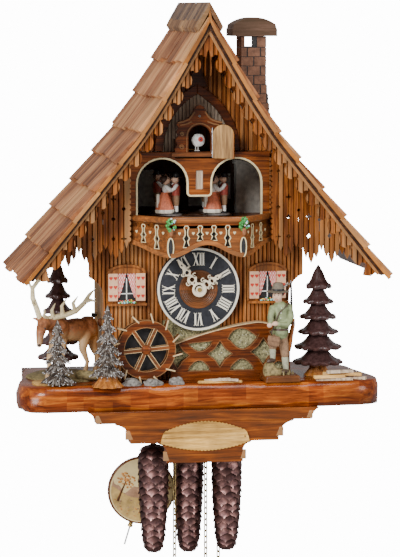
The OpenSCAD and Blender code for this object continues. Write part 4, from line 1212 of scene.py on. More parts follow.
def make_balcony():
    """Three sawn panels round the bay, pierced with balusters edged in cream and set with hearts."""
    piece = Piece("balcony_panels", "balcony_wood", "cream_trim", "black", "rail_wood")
    front = -217.0

    def low_at(x):
        return 182 - 16 * (0.5 - 0.5 * math.cos(math.pi * min(abs(x) / 46, 1)))
    steps = [46 * i / 12 for i in range(-12, 13)]
    outline = [(x, 205) for x in (46, -46)] + [(x, low_at(x)) for x in steps]
    holes = [baluster(x, 202, low_at(x) + 3.4) for x in (-26.1, -8.7, 8.7, 26.1)]
    piece.board([outline] + holes, front, front + 4, 0.1)
    # A black board behind the panel is painted shade, seen through the baluster openings.
    piece.board([[(x * 0.985, h * 1.0 - 0.3 if h > 200 else h + 1.2) for x, h in outline]],
                front + 4.6, front + 5.6, 0, 2)
    for hole in holes:
        strip(piece, offset_loop(hole, -0.5), 1.15, front - 0.7, front + 2, 0, 1, True)
    piece.box((-46, front - 0.4, 202.6), (46, front + 4.2, 206.4), 0, 3)
    for x in (-34.8, -17.4, 0, 17.4, 34.8):
        piece.board([heart(x, 193, 4.4)], front - 0.5, front + 1, 0, 1)
    bottom = [(x, low_at(x) - 0.6) for x in steps]
    strip(piece, bottom, 5.6, front - 2.4, front + 4.5, 0.2, 3)
    strip(piece, [(x, h + 3.0) for x, h in bottom], 1.2, front - 1.0, front + 2, -0.3, 3)
    for side in (-1, 1):
        a, b = Vector((side * 46, front)), Vector((side * 92, -162))
        along = (b - a).normalized()
        length = (b - a).length
        normal = Vector((along.y * side, -along.x * side))
        if normal.y > 0:
            normal = -normal
        piece.place = Matrix(((along.x * side, -normal.x, 0, a.x),
                              (along.y * side, -normal.y, 0, a.y), (0, 0, 1, 0), (0, 0, 0, 1)))

        def low_side(u):
            t = min(u / length, 1)
            return 166 + 15 * (0.5 - 0.5 * math.cos(math.pi * t))
        us = [length * i / 10 for i in range(11)]
        loop = [(side * u, low_side(u)) for u in us] + [(side * length, 205), (0, 205)]
        slots = [baluster(side * u, 202, low_side(u) + 4) for u in (22.5, 44.5)]
        piece.board([loop] + slots, 0, 4, 0.1)
        # A black board behind the side panel is painted shade, seen through the baluster openings.
        piece.board([[(side * (u * 0.97 + 1), h + (1.2 if h < 200 else -0.3)) for u, h in
                      [(u, low_side(u)) for u in us] + [(length, 205), (0, 205)]]], 4.6, 5.6, 0, 2)
        for slot_loop in slots:
            strip(piece, offset_loop(slot_loop, -0.5), 1.15, -0.7, 2, 0, 1, True)
        for u in (12, 33.5, 56):
            piece.board([heart(side * u, 193, 4.4)], -0.5, 1, 0, 1)
        strip(piece, [(side * u, low_side(u) - 0.6) for u in us], 5.6, -2.4, 4.5, 0.2, 3)
        piece.place = Matrix()
        lens = [(side * 46 + 3.6 * math.sin(t), 175.5 + 12 * math.cos(t)) for t in
                [math.tau * i / 20 for i in range(20)]]
        piece.board([lens], front - 1.4, front + 3, 0, 2)
        strip(piece, lens, 1.3, front - 1.9, front + 2.5, 0, 1, True)
    rail = [(-92, -160), (-48.5, -217.5), (48.5, -217.5), (92, -160)]
    for a, b in zip(rail, rail[1:]):
        piece.tube([(a[0], a[1], 209.3), (b[0], b[1], 209.3)], 4.1, 10, 0.15, 3)
    for x, y in rail[1:3]:
        piece.ball((x, y, 209.3), 4.1, 0.15, 3, 14)
    piece.plan([[(-92, -162), (-46, -216), (46, -216), (92, -162)]], 199, 203.8, -0.2, 0)
    piece.done("balcony", slot="carved_wood", bevel=0.4, segments=2)


def make_flowers():
    piece = Piece("flower_bunches", "leaf_green", "white", "cyan", "pot")
    for x in (-46, 46):
        for i in range(46):
            a, b = rng.uniform(0, math.tau), rng.uniform(-1, 1)
            r = 5.2 * math.sqrt(1 - b * b) + rng.uniform(-0.8, 0.8)
            at = (x + r * math.cos(a) * 1.05, -222.6 + 0.55 * r * math.sin(a), 204 + 8.2 * b)
            kind = 0 if rng.random() < 0.68 else (1 if rng.random() < 0.6 else 2)
            if x + r * math.cos(a) < x - 1 and kind:
                kind = 0
            piece.ball(at, (1.5, 1.2, 1.3 if kind else 1.9), rng.uniform(-0.4, 0.4), kind, 8,
                       Matrix.Rotation(rng.uniform(-1, 1), 4, "Y"))
        piece.lathe((x, -222.2, 190), "z", [(1.2, 0), (2.6, 2), (3.0, 8), (2.2, 9)], 12, 0, 3)
    for x in (-91, 91):
        for i in range(34):
            u = rng.uniform(-10.5, 10.5)
            at = (x + u, -150.2 + rng.uniform(-1.3, 1.0),
                  100.2 + rng.uniform(0, 3.4) * (1 - abs(u) / 14))
            kind = 0 if rng.random() < 0.6 else 2
            piece.ball(at, rng.uniform(0.9, 1.5), rng.uniform(-0.3, 0.5),
                       kind if rng.random() < 0.8 else 1, 8)
    piece.done("flowers", slot="painted_green")
    buds = Piece("sill_blossoms", "red", "yellow")
    for x in (-91, 91):
        for i in range(12):
            u = rng.uniform(-10, 10)
            buds.ball((x + u, -151.4 + rng.uniform(-0.6, 0.4), 101.4 + rng.uniform(0, 2.6)), 1.05,
                      0.1, i % 2, 8)
    buds.done(slot="painted_green")


def make_cuckoo_house():
    """The carved surround of the cuckoo's door with its scrolled gable."""
    piece = Piece("cuckoo_surround", "arch_wood", "black", "white")
    right = [(31, 286), (31.5, 296), (28.6, 301), (31, 306), (27.8, 312), (30, 317), (27.2, 321),
             (29.5, 326.5), (27.5, 329.5),
             (20, 331.5), (13.6, 335), (9.4, 339.6), (7.0, 345), (4.4, 348.8), (0, 350.4)]
    outline = right + mirrored(right[:-1])
    window = [(-14.5, 290), (14.5, 290), (14.5, 310.5)] + circle(0, 310.5, 14.5, 16, 0,
            math.pi)[1:-1] + [(-14.5, 310.5)]
    eye = circle(0, 336.5, 1.9, 12)
    piece.board([outline, window, eye], -164, -157.4, 0)
    for side in (-1, 1):
        for a, b, lift in (((28.5, 328), (14, 332.5), 1.6), ((14, 332.5), (6.6, 342), 1.6),
                           ((25, 325), (10, 329.5), 1.0)):
            strip(piece, [(side * a[0], a[1]), (side * (a[0] + b[0]) / 2, (a[1] + b[1]) / 2 - 0.7),
                          (side * b[0], b[1])], 1.8,
                  -164.2 - lift, -163, 0.4)
        for cx, ch, r in ((23, 297.5, 3.4), (22.6, 314, 2.8)):
            spiral = [(side * (cx + (r - r * 0.75 * i / 16) * math.cos(i * 0.62)),
                       ch + (r - r * 0.75 * i / 16) * math.sin(i * 0.62))
                      for i in range(17)]
            strip(piece, spiral, 1.1, -165.2, -163, 0.35)
        strip(piece, [(side * 16.6, 291), (side * 16.6, 311)] + circle(0, 310.5, 16.6, 9,
                math.pi / 2 - side * math.pi / 2,
                                                                      math.pi / 2)[1:], 1.5, -165, -163, 0.3)
        x = 26 if side > 0 else -30
        piece.box((x, -157.4, 291.6), (x + 4, -142.3, 307), -0.2)
    piece.board([circle(0, 336.5, 3.4, 14)], -159.6, -158.4, 0, 2)
    piece.board([[(-36, 285.2), (24.6, 285.2), (24.6, 290.6), (-36, 290.6)]], -166.0, -157.0, 0.1)
    piece.done("cuckoo_house", slot="case_wood", bevel=0.45, segments=2)


# ---------------------------------------------------------------- dial and hands

def make_dial():
    """The dial's turned wooden centre, its groove rings and the cream rim."""
    piece = Piece("dial_centre", "dial_wood", "cream", "dial_black")
    profile = [(5.2, 12.9), (52.4, 12.9), (52.4, 2), (52.0, 0.4), (50.4, 0.1), (5.2, 0.1)]
    piece.lathe((0, -155, 116.5), "y", profile, 96, 0, 2, closed=True)
    wooden = [(24.8, 0.2), (24.4, -0.9), (23.2, -1.2)]
    r = 22.0
    while r > 9:
        wooden += [(r, -1.2), (r - 0.5, -0.7), (r - 1.0, -1.3)]
        r -= 2.3
    wooden += [(6.0, -1.2), (5.6, 1.0), (24.0, 1.0)]
    piece.lathe((0, -155, 116.5), "y", wooden, 72, 0.1, 0, closed=True)
    rim = [(52.9, 0.8), (52.7, -1.0), (51.6, -1.4), (50.2, -1.2), (49.7, 0.3)]
    piece.lathe((0, -155, 116.5), "y", rim, 96, 0, 1, closed=True)
    piece.done("dial_plate", slot="dial_black", smooth=50)


def numeral_strokes(text):
    """Strokes of a Roman numeral as (foot x, head x, width), with its whole width."""
    strokes, x = [], 0.0
    for letter in text:
        if letter == "I":
            strokes.append((x + 1.5, x + 1.5, 2.1))
            x += 3.5
        elif letter == "V":
            strokes += [(x + 4.0, x + 1.4, 2.1), (x + 4.0, x + 6.6, 1.0)]
            x += 8.2
        else:
            strokes += [(x + 7.0, x + 1.6, 2.1), (x + 1.6, x + 7.0, 1.0)]
            x += 8.8
    return strokes, x - 0.5


def make_numerals():
    """Roman numerals with slab ends round the black ring, feet towards the centre."""
    piece = Piece("numeral_set", "cream")
    tall = 16.5
    for n, text in enumerate(("XII", "I", "II", "III", "IIII", "V", "VI", "VII", "VIII", "IX", "X",
                              "XI")):
        strokes, width = numeral_strokes(text)
        turn = -math.radians(30 * n)
        for k, (foot, head, w) in enumerate(strokes):
            foot, head = foot - width / 2, head - width / 2
            loops = [[(foot - w / 2, -tall / 2), (foot + w / 2, -tall / 2),
                      (head + w / 2, tall / 2), (head - w / 2, tall / 2)]]
            for x, h in ((foot, -tall / 2), (head, tall / 2 - 0.9)):
                wide = w / 2 + 0.75
                loops.append([(x - wide, h), (x + wide, h), (x + wide, h + 0.9),
                              (x - wide, h + 0.9)])
            for loop in loops:
                placed = [turned(x, h + 38.4, turn) for x, h in loop]
                piece.board([[(x, h + 116.5) for x, h in placed]], -155.75 - 0.02 * k, -154.8, 0)
    piece.done("dial_numerals", slot="dial_cream", smooth=30)


def hand_outline(length, widths, turn):
    right = [(w, length * t) for t, w in widths]
    points = right + [(-x, h) for x, h in reversed(right) if x > 0.3]
    return shifted(points, 0, 0, turn)


def make_hands():
    """Pierced serpentine hands cut from bone-coloured sheet, with a collar at the centre."""
    swell = [(0.0, 4.4), (0.14, 3.6), (0.2, 2.4), (0.25, 3.6), (0.31, 5.5), (0.38, 5.2),
             (0.44, 2.6), (0.48, 2.0), (0.53, 4.2),
             (0.6, 4.6), (0.66, 2.5), (0.72, 1.7), (0.78, 2.5), (0.84, 2.1), (0.9, 1.5), (1.0, 0.3)]
    for name, node, body, length, clock, y in (("minute_blade", "minute_hand", "minute", 48, 324,
                                                -162.2),
                                               ("hour_blade", "hour_hand", "hour", 35, 57, -159.8)):
        piece = Piece(name, "bone", "brass")
        turn = -math.radians(clock)
        wide = 1.22 if length > 40 else 1.3
        outline = hand_outline(length, [(t, w * wide) for t, w in swell], turn)
        holes = []
        for t, a, b in ((0.335, 2.5, 3.0), (0.565, 2.0, 2.6), (0.225, 1.0, 1.1), (0.80, 0.8, 1.6)):
            k = length / 48
            ellipse = [(a * wide * math.cos(s), length * t + b * k * math.sin(s)) for s in
                       [math.tau * i / 14 for i in range(14)]]
            holes.append(shifted(ellipse, 0, 0, turn))
        piece.board([[(x, h + 116.5) for x, h in loop] for loop in [outline] + holes], y, y + 1.1,
                    0)
        for side, t, size in ((-1, 0.31, 2.4), (1, 0.40, 2.2), (-1, 0.58, 2.0), (1, 0.63, 1.8)):
            x, h = turned(side * 5.6 * wide * size / 2.4, length * t, turn)
            ring = circle(x, h + 116.5, size, 14, turn + (0.4 if side > 0 else 2.0),
                          turn + (0.4 if side > 0 else 2.0) + 4.4)
            strip(piece, ring, 1.3, y, y + 1.1)
        r = 9.2 if body == "minute" else 7.0
        piece.lathe((0, y, 116.5), "y",
                    [(r, 1.1), (r, -0.2), (r - 0.7, -0.6), (r - 2.2, -0.6), (r - 2.8, 0.0),
                                         (r - 4.6, 0.0), (r - 5.0, -0.7), (2.1, -0.8), (2.0, 1.0)],
                                         40, 0.0)
        if body == "hour":
            for r_out, y0, y1 in ((3.9, -158.6, -124.5), (18.6, -127.5, -124.5)):
                piece.lathe((0, 0, 116.5), "y",
                            [(2.1, y0), (r_out - 0.3, y0), (r_out, y0 + 0.3), (r_out, y1 - 0.3),
                                                 (r_out - 0.3, y1), (2.1, y1)], 48, 0, 1)
            for i in range(40):
                a = math.tau * (i + 0.5) / 40
                c, s = math.cos(a), math.sin(a)
                strip(piece, [(18.2 * c, 116.5 + 18.2 * s), (19.7 * c, 116.5 + 19.7 * s)], 1.3,
                      -127.4, -124.6, 0, 1)
        piece.done(node, body=body, slot="dial_cream", bevel=0.25, segments=1, smooth=40)


# ---------------------------------------------------------------- windows, mill wall, water wheel

def make_windows():
    """Arched lintels, checked curtains parted over black panes, hearts on the shutters."""
    frames = Piece("window_joinery", "carved", "black", "white", "curtain", "curtain_white")
    leaves = Piece("shutter_leaves", "shutter", "red", "case")
    for s in (-1, 1):
        c = s * 91
        lintel = [(c - 25, 137.5)] + [(c + 25 * math.cos(a), 137.5 + 11.5 * math.sin(a)) for a in
                                      [math.pi - math.pi * i / 20 for i in range(1,
                                              20)]] + [(c + 25, 137.5)]
        frames.board([lintel], -149.6, -142, 0.1)
        inner = [(x * 0.80 + c * 0.20, (h - 137.5) * 0.6 + 138.6) for x, h in lintel]
        strip(frames, inner, 1.2, -150.3, -149, -0.4)
        frames.box((c - 11.4, -145, 102), (c + 11.4, -143.6, 138.5), 0, 1)
        frames.box((c - 25.4, -151, 96.4), (c + 25.4, -142, 99.4), 0.1)
        frames.box((c - 24, -146, 99.4), (c + 24, -142.4, 102.6), -0.2)
        frames.box((c - 0.6, -146.6, 102.4), (c + 0.6, -145.4, 131), 0, 2)
        frames.box((c - 9.5, -146.6, 111.0), (c + 9.5, -145.4, 112.2), 0, 2)
        for side in (-1, 1):
            top, low = 138.4, 106.5
            rows = 12
            cells = 6
            for j in range(rows):
                for i in range(cells):
                    def at(u, v):
                        h = top + (low - top) * v
                        inside = 0.6 + 9.0 * v ** 1.25
                        x = inside + (11.6 - inside) * u
                        return (c + side * x, -147.6 + 0.5 * math.sin(u * 15), h)
                    u0, u1, v0, v1 = i / cells, (i + 1) / cells, j / rows, (j + 1) / rows
                    quad = [at(u0, v0), at(u1, v0), at(u1, v1), at(u0, v1)]
                    back = [(x, y + 0.5, h) for x, y, h in quad]
                    frames.hexa(quad + back, 0, 3 if (i + j) % 2 else 4)
            x0 = c + side * 17.6
            w = 6.0
            leaves.box((x0 - w, -149.4, 102.6), (x0 + w, -147.2, 137.6), 0.1)
            leaves.box((x0 - w - 0.7, -147.4, 102.0), (x0 + w + 0.7, -146.2, 138.2), 0, 2)
            for h in (131.4, 120.0, 108.6):
                for dx in (-2.9, 2.9):
                    leaves.board([heart(x0 + dx, h, 5.4)], -149.9, -149.2, 0, 1)
    frames.done("window_frames", slot="carved_wood", bevel=0.25, segments=1)
    leaves.done("window_shutters", slot="painted_cream", bevel=0.3, segments=2)


def mill_top(x):
    return 57 + 0.30 * x - 0.0012 * x * x if x < 75 else 72.8 - 0.009 * (x - 75) ** 2


def make_mill_wall():
    """Curved timber fretwork over painted gravel, with a pale top edge that is a painted highlight."""
    piece = Piece("mill_timber", "mill_wood", "gravel", "edge_highlight")
    xs = [-36 + 155 * i / 30 for i in range(31)]
    outline = [(119, 0.2), (-36, 0.2)] + [(x, mill_top(x)) for x in xs]

    def sprung(x0, x1, h, rise, steps=12):
        return [(x0 + (x1 - x0) * i / steps,
                 h + rise * math.sin(math.pi * i / steps)) for i in range(steps + 1)]

    def diamond(x, h, w, tall):
        corners = [(x - w, h), (x, h + tall), (x + w, h), (x, h - tall)]
        loop = []
        for a, b in zip(corners, corners[1:] + corners[:1]):
            for i in range(6):
                t = i / 6
                bow = -2.0 * math.sin(math.pi * t)
                px, ph = a[0] + (b[0] - a[0]) * t, a[1] + (b[1] - a[1]) * t
                n = math.hypot(px - x, ph - h) or 1
                loop.append((px + bow * (px - x) / n, ph + bow * (ph - h) / n))
        return loop
    holes = [[p for p in diamond(-27, 32, 15, 16) if p[0] > -34],
             diamond(27.6, 33.0, 15.5, 16.5), diamond(84, 35, 16, 17),
             sprung(-14, 18, 47.8, -10.5)[1:-1] + [(17.5, 49.6), (-13.5, 47.2)],
             [(38, 52)] + [(38 + 40 * t, 52 + 13.5 * math.sin(math.pi * t ** 0.75)) for t in [i / 12 for i in range(1, 12)]]
             + [(78, 57)] + [(78 - 40 * t, 56 - 17 * math.sin(math.pi * t * 0.97)) for t in [i / 12 for i in range(1, 12)]],
             sprung(-14, 15, 13.6, 11.4)[1:-1] + [(14.5, 12.2), (-13.5, 12.2)],
             sprung(40, 72, 13.6, 12.4)[1:-1] + [(71.5, 12.2), (40.5, 12.2)],
             sprung(94, 114, 13.6, 8.4)[1:-1] + [(113.5, 12.2), (94.5, 12.2)],
             [(92, 61)] + [(92 + 20 * t, 61 + 3 * math.sin(math.pi * t)) for t in (0.3,
                     0.6)] + [(112, 57), (104, 50), (97, 50)]]
    piece.board([outline] + holes, -156, -151, 0)
    piece.board([[(x, h - 0.7 if h > 1 else h) for x, h in outline]], -150.9, -142.3, 0, 1)
    # The pale strip along the top is a painted highlight, and the lighter rims round the openings are painted
    # highlights on their edges.
    strip(piece, [(x, mill_top(x) + 0.2) for x in xs], 1.3, -156.7, -142.4, 0, 2)
    for hole in holes:
        strip(piece, offset_loop(hole, -0.9), 0.8, -156.35, -154, 0.35, 0, True)
    rubble = [(-44, 50), (-36, 46), (-20, 51), (0, 56), (30, 64), (30, 70), (0, 72), (-24, 78),
              (-44, 76)]
    piece.board([rubble], -143.4, -142, 0, 1)
    for i in range(420):
        x = rng.uniform(-35, 118)
        h = rng.uniform(3, mill_top(x) - 3)
        if i > 330:
            x, h = rng.uniform(-42, -4), rng.uniform(56, 74)
            y = -143.2
            if h < 51 + 0.25 * (x + 36):
                continue
        else:
            y = -150.9
        piece.ball((x, y, h), (rng.uniform(0.8, 1.7), 0.9, rng.uniform(0.7, 1.4)),
                   rng.uniform(-0.6, 0.7), 1, 6)
    piece.done("mill_wall", slot="carved_wood", bevel=0.5, segments=1)


def make_water_wheel():
    """Two rims on six spokes, a black disc behind them as painted shade, and twelve thin paddles; the pale lines
    along the rim, spoke and paddle edges are painted highlights.
    """
    piece = Piece("wheel_timber", "arch_wood", "black", "edge_highlight", "arch_wood")
    cx, ch = -70.0, 42.7
    # The black disc behind the spokes is painted shade.
    piece.lathe((cx, -161.2, ch), "y", [(0.1, 0), (28.5, 0), (28.5, 1.0), (0.1, 1.0)], 40, -0.3, 1)
    for y in (-174.0, -162.6):
        ring = circle(cx, ch, 32.6, 48)
        strip(piece, ring, 9.4, y, y + 2.6, 0, 3, True)
        # Lighter lines along both rim edges are painted highlights.
        for r in (28.2, 37.2):
            strip(piece, circle(cx, ch, r, 48), 0.9, y - 0.35, y + 1, 0.5, 0, True)
    piece.lathe((cx, -173, ch), "y", [(36.4, 0), (36.4, 11), (35.2, 11), (35.2, 0)], 48, -0.4, 0,
                closed=True)
    for i in range(6):
        a = math.radians(60 * i + 5)
        c, s = math.cos(a), math.sin(a)
        for y in (-174.4, -163.0):
            strip(piece, [(cx + 5 * c, ch + 5 * s), (cx + 30 * c, ch + 30 * s)], 4.4, y, y + 2.6,
                  0.1, 3)
            # Pale lines along the spoke edges are painted highlights.
            for side in (-1, 1):
                ox, oh = -s * 2.2 * side, c * 2.2 * side
                strip(piece, [(cx + 6 * c + ox, ch + 6 * s + oh),
                              (cx + 29 * c + ox, ch + 29 * s + oh)], 0.7, y - 0.35, y + 1,
                      0.3, 2)
    for i in range(12):
        a = math.radians(30 * i + 15)
        c, s = math.cos(a), math.sin(a)
        lean = math.radians(8)
        tip = (cx + 46.5 * math.cos(a + lean), ch + 46.5 * math.sin(a + lean))
        strip(piece, [(cx + 34 * c, ch + 34 * s), tip], 1.7, -174.2, -160.2, 0.1, 3)
        # Pale lines along the paddle edges are painted highlights.
        for y in (-174.6, -160.4):
            strip(piece, [(cx + 35 * c, ch + 35 * s), tip], 1.9, y, y + 0.7, 0.2, 2)
    piece.lathe((cx, -176, ch), "y",
                [(0.1, -0.4), (3.2, -0.4), (5.4, 0.4), (6.2, 2), (6.2, 16), (2.5, 18), (2.5, 44.4),
                 (0.1, 44.4)],
                24, -0.1, 3)
    piece.done("water_wheel", body="mill_wheel", slot="carved_wood", bevel=0.3, segments=1)


def make_rocks():
    piece = Piece("rough_stones", "stone")
    for x, y, w, tall in ((-92, -188, 24, 8.0), (-64, -190, 23, 7.4), (-34, -187, 19, 9.2)):
        seed = rng.uniform(0, 60)
        rings = []
        for j in range(1, 9):
            b = math.pi * 0.5 * (1 - j / 8.4)
            ring = []
            for i in range(22):
                a = math.tau * i / 22
                p = Vector((math.cos(a) * math.sin(b + 0.12), math.sin(a) * math.sin(b + 0.12),
                            math.cos(b)))
                k = 1 + 0.30 * noise.noise(p * 1.7 + Vector((seed, 0,
                                                             0))) + 0.10 * noise.noise(p * 6 + Vector((0, seed, 0)))
                ring.append((x + p.x * w / 2 * k, y + p.y * w * 0.40 * k,
                             max(0.05, p.z * tall * k * 1.05)))
            rings.append(ring)
        foot = [(px, py, 0.02) for px, py, _ in rings[0]]
        piece.rings([foot] + rings, lambda v: 0.35 * noise.noise(Vector(v) * 0.25))
    piece.done("stones", slot="stone_grey", smooth=28)
    logs = Piece("kindling", "birch", "pale")
    for k in range(5):
        place = Matrix.Translation((12 + 7 * k, -187 + 1.6 * (k % 3), 2.0 + 2.3 * (k % 2))) @ \
            Matrix.Rotation(math.radians(10 - 9 * k), 4,
                            "Z") @ Matrix.Rotation(math.radians(rng.uniform(-4, 4)), 4, "Y")
        logs.place = place
        half = 19 - 2 * k
        logs.hexa([(-half, -2.6, -1.6), (half, -2.2, -1.7), (half, 2.4, -1.5), (-half, 2.7, -1.6),
                   (-half + 1, -0.8, 1.5), (half - 1.5, -0.6, 1.2), (half, 1.1, 1.4),
                   (-half, 1.3, 1.7)],
                  rng.uniform(-0.2, 0.3), k % 2)
    for k, (x, y, h, half, a) in enumerate(((163, -190, 5.6, 21, 6), (170, -188, 1.9, 24, -2),
                                            (182, -180, 7.2, 25, -17),
                                            (201, -182, 2.2, 12, -30), (188, -174, 3.0, 20, -9),
                                            (178, -185, 11.0, 18, 9))):
        logs.place = Matrix.Translation((x, y, h)) @ Matrix.Rotation(math.radians(a), 4, "Z")
        logs.hexa([(-half, -3.6, -1.9), (half, -3.2, -2.0), (half, 3.4, -2.0), (-half, 3.7, -1.9),
                   (-half, -2.6, 2.3), (half - 1, -2.2, 1.5), (half, 2.1, 1.9), (-half, 2.6, 2.1)],
                  rng.uniform(0, 0.5), k % 2)
    logs.place = Matrix()
    logs.done("firewood", slot="birch", bevel=0.35, segments=1)


# ---------------------------------------------------------------- trees and figures

def fir_tiers(piece, x, y, height, radii, foot, steps=60):
    """A turned fir: flared skirts with curled lobed rims, one above the other."""
    tiers = len(radii)
    rise = (height - foot) / (tiers + 0.55)
    for i, r in enumerate(radii):
        low = foot + rise * i
        lobes = max(7, round(12 - i))
        top = low + rise * (1.35 if i < tiers - 1 else 1.55)
        turn = rng.uniform(0, 1)
        rings = []
        for rr, lift in ((0.62, 0.10), (0.90, -0.02), (1.0, 0.03), (1.02, 0.12), (0.96, 0.20),
                         (0.80, 0.26), (0.62, 0.40), (0.42, 0.68), (0.22, 1.06)):
            ring = []
            for k in range(steps):
                a = math.tau * k / steps
                wave = math.cos(lobes * (a + turn))
                edge = max(0.0, (rr - 0.45) / 0.55)
                radius = r * rr * (1 + 0.085 * wave * edge)
                h = low + (top - low) * lift * (0.9 if lift < 0.3 else 1) + 1.5 * edge * edge * (0.5 - 0.5 * wave)
                radius *= 1 + 0.02 * noise.noise(Vector((math.cos(a) * 3, math.sin(a) * 3,
                                                         h * 0.2)))
                ring.append((x + radius * math.cos(a), y + radius * math.sin(a), h))
            rings.append(ring)
        rings[-1] = [(x + max(0.35, r * 0.06) * math.cos(math.tau * k / steps),
                      y + max(0.35, r * 0.06) * math.sin(math.tau * k / steps),
                      top) for k in range(steps)]

        def shade(v):
            d = math.hypot(v[0] - x, v[1] - y) / r
            return -0.25 + 0.7 * max(0, d - 0.6) + 0.2 * noise.noise(Vector(v) * 0.5)
        piece.rings(rings, shade)


def stump(piece, x, y, wide, tall, finish):
    piece.lathe((x, y, 0), "z", [(wide, 0.1), (wide * 0.86, tall * 0.2), (wide * 0.62, tall * 0.6),
                                 (wide * 0.5, tall * 1.25),
                                 (0.1, tall * 1.25)], 60, 0.1, finish, 9, 0.10)


def make_firs():
    pines = Piece("dark_firs", "fir", "stump")
    for x, y, height, size, foot in ((160, -135, 143, 1.0, 15), (-165, -32, 146, 0.84, 15)):
        fir_tiers(pines, x, y, height, [r * size for r in (30, 28.5, 24, 22, 18, 15.5)], foot)
        stump(pines, x, y, 17 if x > 0 else 12, foot, 1)
    pines.done("pine_trees", slot="fir_brown", smooth=50)
    frosted = Piece("frosted_firs", "snow_fir", "stump", "frost")
    for x, y, height, spread, foot, tiers in ((-183, -176, 78, 24, 3, 6),
                                              (-122, -194, 97, 24, 13, 6)):
        frosted.lathe((x, y, 0), "z", [(2.4, foot * 0.5), (2.0, height * 0.5), (0.5, height - 1),
                                       (0.1, height)], 8, -0.5)
        rise = (height - foot) / tiers
        for i in range(tiers):
            r_out = spread * (1 - 0.80 * i / tiers)
            for layer in range(6):
                low = foot + rise * (i + 0.16 * layer) + 1
                r = r_out * (1 - 0.13 * layer)
                count = max(10, int(r * 2.3))
                for k in range(count):
                    a = math.tau * (k + rng.uniform(-0.3, 0.3)) / count
                    length = r * rng.uniform(0.86, 1.03)
                    droop = rng.uniform(-3.5, 0.5)
                    out = Vector((math.cos(a), math.sin(a), 0))
                    side = Vector((-math.sin(a), math.cos(a), 0))
                    root = Vector((x, y, low + rise * 0.55)) + out * length * 0.25
                    tip = Vector((x, y, max(1.2, low + droop * 0.6))) + out * length
                    mid = root.lerp(tip, 0.66)
                    thick = rng.uniform(0.9, 1.5)
                    ring = [mid + side * thick, mid + Vector((0, 0, thick * 0.9)),
                            mid - side * thick, mid - Vector((0, 0, thick * 0.8))]
                    shade = rng.uniform(-0.7, 0.5)
                    frosted.add([root] + ring + [tip],
                                [(0, 1, 2), (0, 2, 3), (0, 3, 4), (0, 4, 1), (5, 2, 1), (5, 3, 2),
                                                        (5, 4, 3), (5, 1, 4)], shade, 0)
                    if rng.random() < 0.42:
                        blob = mid.lerp(tip, rng.uniform(0.5, 0.95)) + Vector((0, 0, 0.5))
                        s = rng.uniform(0.45, 1.0)
                        frosted.add([blob + Vector((s, 0, 0)), blob + Vector((0, s, 0)),
                                     blob - Vector((s, 0, 0)),
                                     blob - Vector((0, s, 0)), blob + Vector((0, 0, s * 0.9)),
                                     blob - Vector((0, 0, s * 0.6))],
                                    [(0, 1, 4), (1, 2, 4), (2, 3, 4), (3, 0, 4), (1, 0, 5),
                                     (2, 1, 5), (3, 2, 5), (0, 3, 5)],
                                    rng.uniform(-0.3, 0.6), 2)
    stump(frosted, -122, -194, 19, 13, 1)
    frosted.done("snowy_trees", slot="fir_snow", smooth=20)


def limb(piece, points, radii, tint=0.0, finish=0, sides=12):
    """A tapering limb through points, rounded at both ends."""
    piece.tube(points, radii, sides, tint, finish)
    piece.ball(points[0], radii[0], tint, finish, 12)
    piece.ball(points[-1], radii[-1], tint, finish, 12)


